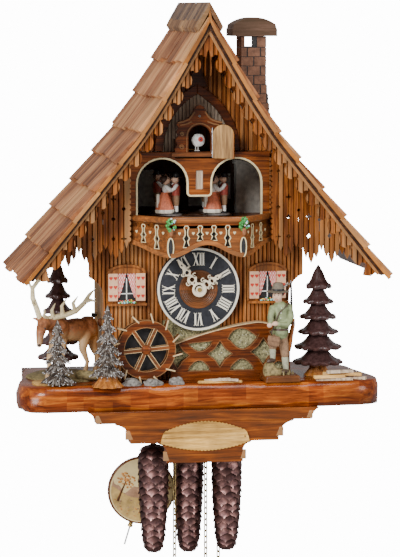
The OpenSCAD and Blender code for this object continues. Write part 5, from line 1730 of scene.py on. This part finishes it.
def make_deer():
    """A stag with lowered head on a mossy plate; the antlers are a piece of their own finish."""
    body = Piece("stag_body", "deer")
    body.ball((-152, -88, 60), (27, 14, 15), 0, 0, 20,
              Matrix.Rotation(math.radians(-6), 4, "Y") @ Matrix.Rotation(math.radians(28), 4, "Z"))
    body.ball((-132, -76, 61), (14, 13, 15.5), 0, 0, 18)
    body.ball((-172, -100, 62), (14, 13, 16), 0, 0, 18)
    limb(body, [(-174, -104, 66), (-184, -114, 72), (-194, -124, 74)], [13, 10.5, 8.5])
    limb(body, [(-195, -126, 74), (-200, -136, 62), (-202, -143, 50)], [8.0, 6.0, 3.8])
    body.ball((-202.4, -144, 48), (3.6, 3.2, 3.4))
    for ear_side in (-1, 1):
        limb(body, [(-195 + ear_side * 4, -124, 78), (-195 + ear_side * 13, -124, 80)], [2.6, 1.4])
    for path, radii in (([(-178, -112, 52), (-186, -118, 30), (-188, -122, 14), (-190, -124, 3.5)],
                         [7.5, 4.2, 2.8, 3.2]),
                        ([(-168, -100, 50), (-170, -112, 28), (-172, -112, 14), (-174, -114, 3.5)],
                         [7.0, 4.0, 2.8, 3.2]),
                        ([(-136, -84, 54), (-140, -88, 34), (-134, -90, 18), (-138, -92, 3.5)],
                         [9.5, 5.2, 2.9, 3.2]),
                        ([(-126, -70, 54), (-124, -70, 34), (-118, -70, 20), (-122, -72, 3.5)],
                         [9.5, 5.2, 2.9, 3.2])):
        limb(body, path, radii)
    body.ball((-113.5, -66, 66), (4.5, 3.5, 6))
    body.done("deer", slot="resin_figure", smooth=60, remesh=1.3)
    horns = Piece("stag_antlers", "antler", "black")
    horns.tube([(-199, -124, 79), (-203, -124, 92), (-208, -123, 106), (-208, -122, 118),
                (-201, -121, 127), (-192, -121, 133),
                (-187, -122, 136)], [3.8, 3.7, 3.4, 3.0, 2.7, 2.0, 0.6], 10)
    horns.tube([(-209, -122, 118), (-212, -122, 124), (-211, -122, 131)], [2.0, 1.4, 0.4], 8)
    horns.tube([(-204, -124, 96), (-209, -130, 100), (-211, -134, 106)], [2.0, 1.5, 0.4], 8)
    horns.tube([(-190, -124, 79), (-180, -120, 80), (-166, -117, 82), (-152, -115, 87),
                (-141, -114, 97), (-134, -114, 108),
                (-128, -114, 114)], [3.6, 3.7, 3.6, 3.4, 3.1, 2.3, 0.6], 10)
    for a, b, c in (((-182, -121, 80), (-184, -126, 90), (-180, -129, 99)),
                    ((-169, -118, 82), (-171, -123, 95), (-165, -125, 104)),
                    ((-153, -115, 87), (-156, -120, 98), (-150, -122, 107)),
                    ((-139, -114, 99), (-133, -116, 101), (-126, -117, 99)),
                    ((-190, -125, 80), (-195, -133, 84), (-194, -138, 92))):
        horns.tube([a, b, c], [3.0, 2.3, 0.5], 8)
    horns.done(slot="resin_figure", smooth=60)
    horns = Piece("stag_eyes", "black")
    for dx, dy in ((-6.0, -4.5), (3.4, -8.0)):
        horns.ball((-197.5 + dx, -129 + dy, 68), 1.4, 0, 0, 10)
    horns.ball((-203.2, -147.2, 48.4), (2.0, 1.0, 1.4), 0, 0, 10)
    horns.done(slot="resin_figure", smooth=60)
    ground = Piece("stag_ground", "moss", "birch")
    rings = []
    for t, h in ((1.0, 0.05), (1.0, 2.2), (0.93, 3.6), (0.6, 4.4), (0.2, 4.8)):
        rings.append([(-165 + t * 47 * math.cos(a) + 3 * t * math.cos(5 * a),
                       -97 + t * 54 * math.sin(a) + 3 * t * math.sin(3 * a),
                       h + 0.5 * noise.noise(Vector((math.cos(a) * 3, math.sin(a) * 3,
                                                     t * 4)))) for a in
                      [math.tau * k / 48 for k in range(48)]])
    ground.rings(rings, lambda v: 0.5 * noise.noise(Vector(v) * 0.06))
    limb(ground, [(-150, -140, 8), (-128, -150, 8)], [6.5, 5.5], 0.1, 0)
    ground.lathe((-196, -158, 0), "z", [(18, 0.1), (18, 2.6), (16, 3.6), (0.1, 3.8)], 30, 0.2, 1, 5,
                 0.05)
    ground.done(slot="resin_figure", smooth=50)


def make_hunter():
    """A walker in a green jacket with hat, bag and rifle, one foot up on a rock, on a brown block."""
    def part(name, finish, build, voxel=0.9, replaced=()):
        piece = Piece(name, finish)
        build(piece)
        return piece.done(*replaced, slot="painted_figure", smooth=60, remesh=voxel)
    ox, oy = 100, -178

    def at(x, y, h):
        return (ox + x, oy + y, h)

    def block(p):
        p.hexa([at(-22, -23.5, 0.1), at(24, -23.5, 0.1), at(24, 20, 0.1), at(-22, 20, 0.1),
                at(-21, -22.6, 9), at(23, -22.6, 9), at(23, 19, 9), at(-21, 19, 9)])
    base = Piece("walker_block", "block_wood")
    block(base)
    base.done("hunter", slot="painted_figure", bevel=2.2, segments=3)

    def rock(p):
        p.ball(at(-13, -4, 14), (9, 10, 12), 0, 0, 16)
        p.ball(at(-6, -8, 11), (9, 8, 7), 0, 0, 14)
        p.ball(at(4, 8, 10), (10, 8, 4), 0, 0, 14)
        p.ball(at(-17, -12, 10), (5, 5, 5), 0, 0, 12)
    part("walker_rock", "moss", rock, 1.2)

    def boots(p):
        limb(p, [at(9, -1, 12), at(3, -8, 11.5)], [3.8, 3.2])
        limb(p, [at(-8, -2, 27), at(-15, -8, 26.5)], [3.6, 3.0])
    part("walker_boots", "boot", boots)

    def socks(p):
        limb(p, [at(9, 0, 14), at(8, 0, 25), at(7.5, 0, 32)], [3.6, 4.6, 4.4])
        limb(p, [at(-8.5, -2, 29), at(-9, -3, 38), at(-9, -3, 43)], [3.5, 4.4, 4.2])
    part("walker_socks", "sock", socks)

    def trousers(p):
        limb(p, [at(7.5, 0, 33), at(6, 0, 46), at(3, 0, 58)], [5.2, 6.4, 7.5])
        limb(p, [at(-9, -3, 44), at(-6, -2, 50), at(0, 0, 58)], [5.0, 6.2, 7.2])
        p.ball(at(2, 0, 59), (10, 7.5, 7), 0, 0, 16)
    part("walker_trousers", "trouser", trousers)

    def jacket(p):
        limb(p, [at(2, 0, 60), at(2, 0, 76), at(1, 0, 94)], [9.6, 9.4, 9.0])
        p.ball(at(1, 0, 92), (12.5, 7.5, 8), 0, 0, 18)
        limb(p, [at(12, 2, 94), at(15, 0, 82), at(8, -10, 72), at(-4, -14, 74)],
             [5.2, 4.8, 4.2, 3.4])
        limb(p, [at(-9, -2, 93), at(-13, -8, 82), at(-14, -13, 74)], [4.8, 4.2, 3.4])
        p.ball(at(2, 0, 63), (11, 8.6, 5), 0, 0, 16)
    part("walker_jacket", "figure_green", jacket)

    def skin(p):
        p.ball(at(-3, -3, 109), (6.4, 6.8, 8.2), 0, 0, 18)
        limb(p, [at(0, 0, 98), at(-1, -1, 104)], [4.2, 4.0])
        p.ball(at(-6, -9.2, 108), (1.2, 1.6, 1.7), 0, 0, 10)
        p.ball(at(-8, -15, 75), (4.2, 3.4, 3.4), 0, 0, 12)
        p.ball(at(-15.5, -15, 73), (3.6, 3.2, 3.4), 0, 0, 12)
        p.ball(at(3, -1, 109), (1.4, 1.4, 2.2), 0, 0, 10)
    part("walker_skin", "skin", skin, 0.7)
    details = Piece("walker_details", "black", "hat", "boot", "stock_wood", "white", "bag", "steel",
                    "skin_red", "moss")
    for dx, dy in ((-7.6, -8.0), (-3.2, -9.3)):
        details.ball(at(dx, dy, 110.4), 0.75, 0, 0, 8)
        details.tube([at(dx - 1.2, dy - 0.1, 112.1), at(dx + 1.2, dy - 0.1, 112.3)], 0.35, 6, 0, 2)
    details.tube([at(-7, -9.0, 104.8), at(-5.4, -9.6, 104.5), at(-3.8, -9.4, 104.9)], 0.5, 6, 0, 7)
    details.ball(at(-0.5, 0, 112.5), (6.9, 7.0, 6.0), 0, 2, 16)
    details.lathe(at(-2, -2, 114.5), "z",
                  [(0.1, -0.6), (13.0, -0.9), (13.8, 0.0), (12.6, 0.7), (8.2, 0.9), (7.8, 1.6),
                   (7.4, 4.4),
                                           (6.2, 9.6), (4.6, 11.4), (2.2, 10.4), (0.1, 10.6)], 28,
                                           0, 1, 2, 0.06)
    details.lathe(at(-2, -2, 115.6), "z", [(8.1, 0), (8.2, 0.4), (8.0, 2.2), (7.6, 2.4)], 28, 0, 0)
    for i in range(7):
        details.tube([at(4, 1, 117 + 0.5 * i), at(8 + i, 2, 121 + 0.5 * i),
                      at(11 + i, 3 + 0.4 * i, 126 - 0.7 * i)], [1.0, 0.9, 0.2], 6,
                     0, 4 if i % 2 else 1)
    details.tube([at(19, 9, 62), at(18, 9, 92), at(17, 9, 124)], [1.7, 1.5, 1.3], 10, 0, 0)
    details.tube([at(17, 9, 98), at(16.6, 9, 127)], [0.9, 0.8], 8, 0, 6)
    details.tube([at(20.5, 9, 78), at(20, 9, 70), at(17, 8, 58), at(14, 7, 44), at(12, 7, 38)],
                 [1.8, 2.6, 3.2, 4.2, 4.4], 12, 0, 3)
    details.tube([at(19.4, 6, 75), at(21, 6.2, 72.6), at(19.2, 6, 70.4)], 0.5, 6, 0, 6)
    details.tube([at(16, 7, 100), at(10, -6, 98), at(-2, -9.6, 88), at(-8, -8.4, 74),
                  at(-12, -10, 62)], 0.8, 8, 0, 2)
    details.hexa([at(-18, -14.5, 48), at(-4, -17, 46), at(-3, -10, 46), at(-16, -8, 48),
                  at(-17, -14.5, 59), at(-3, -17, 57),
                  at(-2, -10, 57), at(-15, -8, 59)], 0, 5)
    details.hexa([at(-18.4, -15.3, 54), at(-3.6, -17.8, 52), at(-2.8, -9.6, 52),
                  at(-16.4, -7.6, 54), at(-17, -14.9, 60),
                  at(-2.6, -17.4, 58), at(-1.8, -9.6, 58), at(-15, -7.6, 60)], 0.3, 5)
    for i in range(5):
        details.ball(at(1 - 0.4 * i, -8.9 + 0.1 * i, 94 - 6.4 * i), 0.75, 0, 4, 8)
    details.lathe(at(2, 0, 66), "z", [(9.8, -1.2), (10.3, -1.0), (10.3, 1.2), (9.8, 1.4)], 24, 0, 2)
    for i in range(60):
        a = rng.uniform(0, math.tau)
        r = rng.uniform(6, 19)
        x, y = r * math.cos(a) * 1.0, r * math.sin(a) * 0.9
        details.tube([at(x, y, 8.8), at(x + rng.uniform(-1, 1), y + rng.uniform(-1, 1),
                                        8.8 + rng.uniform(2.5, 6.5))], [0.8, 0.15], 5,
                     rng.uniform(-0.2, 0.6), 8)
    details.done(slot="painted_figure", bevel=0.0, smooth=50)


def make_dancers():
    """Four couples on round feet, each a woman in a red skirt and a man in a hat."""
    parts = {"skirts": ("skirt", []), "blouses": ("white", []), "skin": ("skin", []),
             "coats": ("vest", []),
             "breeches": ("trouser", []), "dark": ("black", []), "hems": ("cream", []),
             "hair": ("hair", []),
             "feet": ("foot_grey", [])}
    pieces = {name: Piece("dancer_" + name, value[0]) for name, value in parts.items()}
    for k in range(4):
        turn = Matrix.Translation((0, -94, 209)) @ Matrix.Rotation(math.radians(45 + 90 * k), 4,
                "Z") @ \
            Matrix.Translation((44, 0, 0)) @ Matrix.Rotation(math.radians(-45 if k % 2 else 45), 4,
                                                             "Z")
        stretch = Matrix.Diagonal((1.3, 1.18, 1.0, 1.0))
        for piece in pieces.values():
            piece.place = turn @ stretch
        p = pieces
        p["feet"].lathe((0, 0, 0), "z",
                        [(0.1, 0.05), (12.5, 0.05), (12.5, 1.2), (11.8, 1.9), (0.1, 2.2)], 32)
        p["skirts"].lathe((0, -6.5, 0), "z",
                          [(0.1, 5), (9.0, 5.2), (9.6, 7.5), (8.2, 14), (6.2, 21), (4.2, 27),
                           (3.6, 29),
                                              (0.1, 29)], 40, 0, 0, 9, 0.05)
        p["hems"].lathe((0, -6.5, 0), "z",
                        [(7.4, 3.0), (9.6, 2.8), (10.4, 4.6), (9.8, 7.4), (9.0, 7.2)], 40, 0, 0, 9,
                        0.06)
        p["hems"].board([[(-3.6, 10), (3.6, 10), (2.6, 27), (-2.6, 27)]], -16.4 + 0.9, -12.5, 0)
        p["blouses"].ball((0, -5.6, 33.5), (4.6, 3.6, 6.0), 0, 0, 16)
        for side in (-1, 1):
            limb(p["blouses"], [(side * 4.0, -5.4, 37), (side * 5.6, -2.6, 33.5),
                                (side * 4.8, 0.4, 31.5)], [2.5, 2.8, 1.9])
            limb(p["skin"], [(side * 4.8, 0.6, 31.4), (side * 4.2, 3.6, 32.8)], [1.4, 1.2])
            limb(p["blouses"], [(side * 4.2, 5.8, 38), (side * 6.0, 3.0, 34),
                                (side * 4.4, -0.6, 31)], [2.3, 2.2, 1.6])
            limb(p["skin"], [(side * 4.2, -1.0, 30.6), (side * 3.2, -3.4, 30.0)], [1.4, 1.3])
        p["skin"].ball((0, -4.6, 44.4), (4.4, 4.8, 5.2), 0, 0, 16)
        p["skin"].ball((0, 0.1, 43.6), (0.8, 0.8, 0.9), 0, 0, 8)
        limb(p["skin"], [(0, -5.2, 38), (0, -5, 41)], [1.7, 1.7])
        p["hair"].ball((0, -6.8, 45.8), (4.9, 4.4, 5.2), 0, 0, 16)
        p["hair"].ball((0, -9.6, 47.0), (2.4, 2.2, 2.4), 0, 0, 12)
        p["dark"].tube([(-4.0, -5.2, 48.2), (0, -6.0, 50.0), (4.0, -5.2, 48.2)], [0.9, 1.1, 0.9], 8)
        p["coats"].lathe((0, 6.0, 0), "z",
                         [(0.1, 24.5), (5.0, 25), (5.2, 30), (5.4, 36), (4.2, 39.6), (1.6, 40.6),
                          (0.1, 40.8)], 28,
                         0, 0, 2, 0.12)
        for side in (-1, 1):
            limb(p["breeches"], [(side * 2.4, 6.2, 26), (side * 3.2, 6.0, 19),
                                 (side * 3.0, 6.2, 13.5)], [3.2, 3.1, 2.5])
            limb(p["blouses"], [(side * 3.0, 6.2, 13), (side * 3.0, 6.4, 5)], [1.9, 1.6])
            limb(p["dark"], [(side * 3.0, 6.6, 3.4), (side * 3.0, 3.4, 3.0)], [1.8, 1.6])
            p["dark"].ball((side * 1.7, -0.25, 45.2), 0.5, 0, 0, 6)
            p["dark"].ball((side * 1.7, 1.35, 46.8), 0.5, 0, 0, 6)
            limb(p["dark"], [(side * 2.4, -7, 3.2), (side * 2.4, -3.4, 2.9)], [1.7, 1.4])
        p["skin"].ball((0, 5.6, 46.0), (4.2, 4.6, 5.0), 0, 0, 16)
        p["skin"].ball((0, 1.0, 45.2), (0.8, 0.8, 0.9), 0, 0, 8)
        limb(p["skin"], [(0, 6, 39.6), (0, 6, 43)], [1.7, 1.7])
        p["dark"].lathe((0, 6.3, 48.6), "z",
                        [(0.1, -0.2), (6.2, -0.4), (6.5, 0.3), (4.0, 0.9), (3.8, 3.6), (3.0, 5.6),
                         (0.1, 6.0)],
                        24)
        p["hair"].ball((0, 7.6, 46.0), (3.7, 3.0, 3.8), 0, 0, 12)
        p["blouses"].tube([(-1.4, 3.0, 41.0), (0, 1.6, 38.8), (1.4, 3.0, 41.0)], 0.7, 6)
    for i, (name, piece) in enumerate(pieces.items()):
        piece.place = Matrix()
        piece.done(*(["dancers"] if i == 0 else []), body="dancing_floor", slot="painted_figure",
                   smooth=60)


def make_cuckoo():
    """A fluffy white bird with an open red bill on wire legs, carried by a brass arm."""
    piece = Piece("bird_feathers", "white")
    centre = Vector((0, -153, 305.5))
    for i in range(150):
        b = math.acos(1 - 2 * (i + 0.5) / 150)
        a = i * 2.39996
        d = Vector((math.sin(b) * math.cos(a), math.sin(b) * math.sin(a), math.cos(b)))
        piece.ball(centre + Vector((d.x * 6.9, d.y * 6.2, d.z * 6.9)), rng.uniform(1.5, 2.1),
                   rng.uniform(-0.25, 0.1), 0, 8)
    piece.ball(centre, (7.2, 6.6, 7.2))
    piece.done("cuckoo_bird", body="cuckoo", slot="painted_white", smooth=60)
    rest = Piece("bird_details", "red", "black", "white", "brass")
    rest.lathe((1.6, -159.0, 307), "y",
               [(0.6, -2.6), (2.2, -2.8), (3.2, -2.0), (3.0, 1.0), (0.1, 1.5)], 20)
    rest.ball((1.6, -161.8, 307), (1.3, 0.7, 1.3), 0, 1, 10)
    for x in (-3.4, -0.2):
        rest.tube([(x, -152.6, 300), (x, -153, 293.2), (x, -155.4, 292.6)], 0.62, 8, 0, 2)
        rest.tube([(x - 1.8, -155.2, 292.5), (x + 1.8, -155.2, 292.5)], 0.5, 6, 0, 2)
    rest.tube([(0, -150, 300), (0, -150, 292.6), (0, -138, 292.6), (0, -129, 292.6),
               (-20, -128, 292.6), (-40, -128, 292.6)], 0.95, 8, 0, 3)
    rest.tube([(-40, -128, 289.6), (-40, -128, 301.4)], 2.0, 12, 0, 3)
    rest.done(body="cuckoo", slot="painted_white", smooth=50)


def make_door():
    """The little cuckoo door, rounded at its free top corner, on a wire hinge."""
    piece = Piece("cuckoo_leaf", "door_wood", "steel", "verge")
    piece.place = Matrix.Translation((16, -165.8, 0)) @ Matrix.Rotation(math.radians(-30), 4, "Z")
    outline = [(1, 283.2), (29, 283.2),
               (29, 314)] + [(15 + 14 * math.cos(a), 314 + 12 * math.sin(a)) for a in
                                                     [math.radians(d) for d in range(15, 166,
                                                             15)]] + [(1, 314)]
    piece.board([outline], -1.25, 1.0, 0, 0)
    piece.board([[(27.6, 283.4), (29.3, 283.4), (29.3, 314), (27.6, 318)]], -1.5, 1.2, 0, 2)
    piece.place = Matrix()
    piece.tube([(16, -165.8, 284), (16, -165.8, 322)], 0.9, 10, 0, 1)
    for h in (289, 315):
        piece.tube([(16, -165.8, h), (16, -165.8, h + 3.4)], 1.45, 10, 0, 1)
    piece.tube([(18, -167.4, 287), (21, -169.6, 286), (24, -170.2, 288.6)], 0.45, 6, 0, 1)
    piece.done("cuckoo_door", body="cuckoo_shutter", slot="pale_wood", bevel=0.4, segments=2)


# ---------------------------------------------------------------- weights, chains and pendulum

LINK_PITCH = 7.6


def link(piece, at, turn, finish=0):
    """One oval chain link standing upright."""
    wire, half_w, half_l = 0.86, 2.1, 4.55
    path = []
    for i in range(14):
        a = math.tau * i / 14
        x = half_w * math.cos(a)
        z = (half_l - half_w) * (1 if math.sin(a) >= 0 else -1) + half_w * math.sin(a)
        path.append((at[0] + x * math.cos(turn), at[1] + x * math.sin(turn), at[2] + z))
    piece.tube(path, wire, 6, 0, finish, True)


def strand(piece, at, low, high, finish=0):
    count = int((high - low) / LINK_PITCH)
    for i in range(count + 1):
        link(piece, (at[0], at[1], high - LINK_PITCH * i), math.radians(35 + 90 * (i % 2)), finish)


# Pairs of the distance from the tip and the radius there
CONE_LENGTH = 143
CONE_PROFILE = [(0, 0), (1, 7), (6, 12), (18, 15), (44, 17.5), (80, 19.5), (112, 20.5), (130, 20),
                (140, 15.5), (CONE_LENGTH, 4)]


def cone_radius(t):
    for (a, ra), (b, rb) in zip(CONE_PROFILE, CONE_PROFILE[1:]):
        if a <= t <= b:
            return ra + (rb - ra) * (t - a) / (b - a)
    return 4


def make_weight(name, body, at, top_h, wheel_h):
    """A cast pine cone: rows of overlapping scales over a dark core, with painted shade at the scale roots and
    undersides, and copper tips that are partly rubbed finish and partly painted highlight.
    """
    piece = Piece(name + "_cone", "cone", "brass")
    x0, y0 = at
    # The core between the scales is darkened as painted shade.
    piece.lathe((x0, y0, top_h - CONE_LENGTH), "z",
                [(max(r - 2.6, 0.1), t) for t, r in CONE_PROFILE] + [(0.1, 142.5)], 32, -0.8)
    t, row = 3.0, 0
    while t < 139:
        r = cone_radius(t)
        count = max(5, round(math.tau * r / 15.5))
        tall = 12.5 if r > 13 else 9.5
        step = 8.0 if r > 13 else 6.0
        for k in range(count):
            mid = math.tau * (k + 0.5 * (row % 2)) / count + 0.13 * row
            half = math.pi / count * 1.10
            verts, shades = [], []
            rows, cols = 5, 6
            for shell in (0, 1):
                for j in range(rows + 1):
                    v = j / rows
                    wide = half * (math.sin(math.pi * (0.16 + 0.60 * (1 - v))) ** 0.55 if v < 0.98 else 0.16)
                    for i in range(cols + 1):
                        u = -1 + 2 * i / cols
                        a = mid + u * wide
                        h = t - 2.0 + tall * (1 - v) + 2.6 * u * u * v
                        base = cone_radius(min(max(h, 0), 142.9))
                        lift = (-2.2 + 3.1 * v ** 1.3) * (1 - 0.45 * u * u) - (1.3 if shell else 0)
                        radius = max(0.5, min(base + lift, 20.5 if base > 10 else base + 1.2))
                        verts.append((x0 + radius * math.cos(a), y0 + radius * math.sin(a),
                                      top_h - CONE_LENGTH + h))
                        # Scales darken towards their roots and on their undersides as painted shade, and lighten
                        # towards the tips as rubbed copper together with painted highlight.
                        shades.append(-0.85 + 1.55 * v ** 1.6 * (1 - 0.6 * u * u) if not shell else -1)
            n = (rows + 1) * (cols + 1)
            faces = []
            for j in range(rows):
                for i in range(cols):
                    a = j * (cols + 1) + i
                    faces.append((a, a + 1, a + cols + 2, a + cols + 1))
                    faces.append((n + a + cols + 1, n + a + cols + 2, n + a + 1, n + a))
            border = [i for i in range(cols + 1)] + [j * (cols + 1) + cols for j in range(1,
                    rows + 1)] \
                + [rows * (cols + 1) + i for i in range(cols - 1, -1,
                                                        -1)] + [j * (cols + 1) for j in range(rows - 1, 0, -1)]
            for p, q in zip(border, border[1:] + border[:1]):
                faces.append((q, p, n + p, n + q))
            first = len(piece.verts)
            piece.add(verts, faces, 0.0, 0)
            piece.tints[first:] = shades
        t += step
        row += 1
    piece.lathe((x0, y0, top_h - 6), "z",
                [(6.5, 0), (6.0, 3.4), (3.6, 5.4), (2.0, 6.4), (1.6, 8.5), (0.1, 8.8)], 20, 0, 1)
    hook = [(x0, y0, top_h + 2), (x0 + 0.4, y0, top_h + 5), (x0 + 2.2, y0, top_h + 7.4),
            (x0 + 1.4, y0, top_h + 10),
            (x0 - 1.2, y0, top_h + 10.6), (x0 - 2.4, y0, top_h + 8.4)]
    piece.tube(hook, 0.9, 8, 0, 1)
    strand(piece, (x0, y0), top_h + 14, wheel_h - 1, 1)
    piece.done(name, body=body, slot="cone_iron", smooth=60)


def make_chain(name, body, at, wheel_h):
    piece = Piece(name + "_links", "chain_brass")
    strand(piece, at, -276, wheel_h - 1)
    ring = [(at[0] + 5.6 * math.cos(a), at[1],
             -287 + 5.6 * math.sin(a)) for a in [math.tau * i / 24 for i in range(24)]]
    piece.tube(ring, 1.05, 8, 0, 0, True)
    piece.done(name, body=body, slot="brass", smooth=60)


def make_pendulum():
    """The bob with its turned rim and an invented autumn landscape in low relief."""
    tilt = Matrix.Translation((0, -32, 22)) @ Matrix.Rotation(math.radians(16.93), 4,
                                                              "Y") @ Matrix.Translation((0, 0,
                                                                      -192.3))
    piece = Piece("bob_disc", "bob_rim", "bob_sky", "bob_hill", "leaf_orange", "bob_field", "trunk",
                  "brass")
    piece.place = tilt
    piece.lathe((0, 0, 0), "y", [(42.4, -6.9), (43.0, -7.3), (44.4, -6.8), (45, -4.6), (45, -2.2),
                                 (44, -1.6), (0.1, -1.6)], 96, 0)
    piece.lathe((0, 0, 0), "y", [(0.1, -6.95), (42.6, -6.95), (42.6, -5.0)], 96, 0, 1)

    def clip(points, r=41):
        out = []
        for x, h in points:
            d = math.hypot(x, h)
            out.append((x, h) if d <= r else (x * r / d, h * r / d))
        return out
    far = clip([(x, 2 + 9 * math.sin(x * 0.11 + 1) + 3 * math.sin(x * 0.37)) for x in range(-41, 42,
            3)])
    piece.board([far + clip([(x, -12) for x in range(41, -42, -3)])], -7.15, -6.4, 0, 2)
    near = clip([(x, -8 + 4 * math.sin(x * 0.09 - 0.6)) for x in range(-41, 42, 3)])
    piece.board([near + [(41 * math.cos(a), 41 * math.sin(a)) for a in
                         [math.radians(d) for d in range(-14, -168, -7)]]], -7.35, -6.4, 0, 4)
    for x, h0, h1, lean in ((18, -20, 20, -3), (26, -18, 12, 2), (-27, -22, 6, 3)):
        piece.tube([(x, -7.3, h0), (x + lean * 0.4, -7.4, (h0 + h1) / 2), (x + lean, -7.4, h1)],
                   [1.5, 1.1, 0.6], 8, 0, 5)
        for i in range(44):
            a, r = rng.uniform(0, math.tau), rng.uniform(0, 10.5)
            px, ph = x + lean + r * math.cos(a) * 1.1, h1 + 2 + r * math.sin(a)
            if math.hypot(px, ph) < 39:
                piece.ball((px, -7.3, ph), (rng.uniform(1.1, 2.2), 0.45, rng.uniform(1.0, 1.9)),
                           rng.uniform(-0.5, 0.6), 3, 8)
    for i in range(60):
        px, ph = rng.uniform(-36, 36), rng.uniform(-37, -16)
        if math.hypot(px, ph) < 39:
            piece.ball((px, -7.3, ph), (rng.uniform(1.0, 2.6), 0.4, rng.uniform(0.6, 1.2)),
                       rng.uniform(-0.6, 0.5), (3, 4, 2)[i % 3], 8)
    piece.box((-4, -1.7, -20), (4, 3.2, 20), 0, 0)
    piece.lathe((0, 0, -45 - 7), "z",
                [(2.0, 0), (3.4, 0.6), (3.6, 3), (2.6, 4), (3.4, 6.2), (1.6, 8.4)], 20, 0, 6)
    piece.done("pendulum_bob", body="bob", slot="painted_wood", bevel=0.0, smooth=45)


def make_works():
    """The three chain wheels with their pins and arbors, seen through the openings and from behind."""
    for name, at, y, r, front, body in (("sprocket_left", (-34.5, 70), -91, 13.9, -119.5,
                                         "left_sprocket"),
                                        ("sprocket_middle", (22, 90), -66, 20, -76,
                                         "middle_sprocket"),
                                        ("sprocket_right", (34.5, 70), -91, 13.9, -119.5,
                                         "right_sprocket")):
        piece = Piece(name + "_wheel", "brass", "steel")
        x, h = at
        piece.lathe((x, y, h), "y", [(2, -4.6), (r + 0.4, -4.6), (r + 0.5, -3.9), (r - 1.6, -2.6),
                                     (r - 3.6, 0), (r - 1.6, 2.6),
                                     (r + 0.5, 3.9), (r + 0.4, 4.6), (2, 4.6)], 40)
        pins = round(math.tau * r / 8)
        for i in range(pins):
            a = math.tau * i / pins
            c, s = math.cos(a), math.sin(a)
            piece.tube([(x + (r - 4) * c, y, h + (r - 4) * s),
                        (x + (r - 0.6) * c, y, h + (r - 0.6) * s)], [1.0, 0.7], 8)
        piece.lathe((x, front, h), "y",
                    [(0.1, 0), (1.5, 0.4), (1.5, -44.5 - front - 0.4), (0.1, -44.5 - front)], 16, 0,
                    1)
        piece.done(name, body=body, slot="brass", smooth=40)


materials = make_materials()
make_camera()
make_studio()
dress_frame()
make_shingles("shingles_left", -1)
make_shingles("shingles_right", 1)
make_ridge()
make_roof_edges()
make_bargeboards()
make_icicles()
make_chimney()
make_base()
make_plaque()
make_walls()
make_gable()
make_stage()
make_balcony()
make_flowers()
make_cuckoo_house()
make_dial()
make_numerals()
make_hands()
make_windows()
make_mill_wall()
make_water_wheel()
make_rocks()
make_firs()
make_deer()
make_hunter()
make_dancers()
make_cuckoo()
make_door()
make_weight("weight_left", "left_weight", (-48.4, -91), -92, 70)
make_weight("weight_middle", "middle_weight", (2, -66), -98, 90)
make_weight("weight_right", "right_weight", (48.4, -91), -92, 70)
make_chain("chain_left", "left_chain", (-20.6, -91), 70)
make_chain("chain_middle", "middle_chain", (42, -66), 90)
make_chain("chain_right", "right_chain", (20.6, -91), 70)
make_pendulum()
make_works()
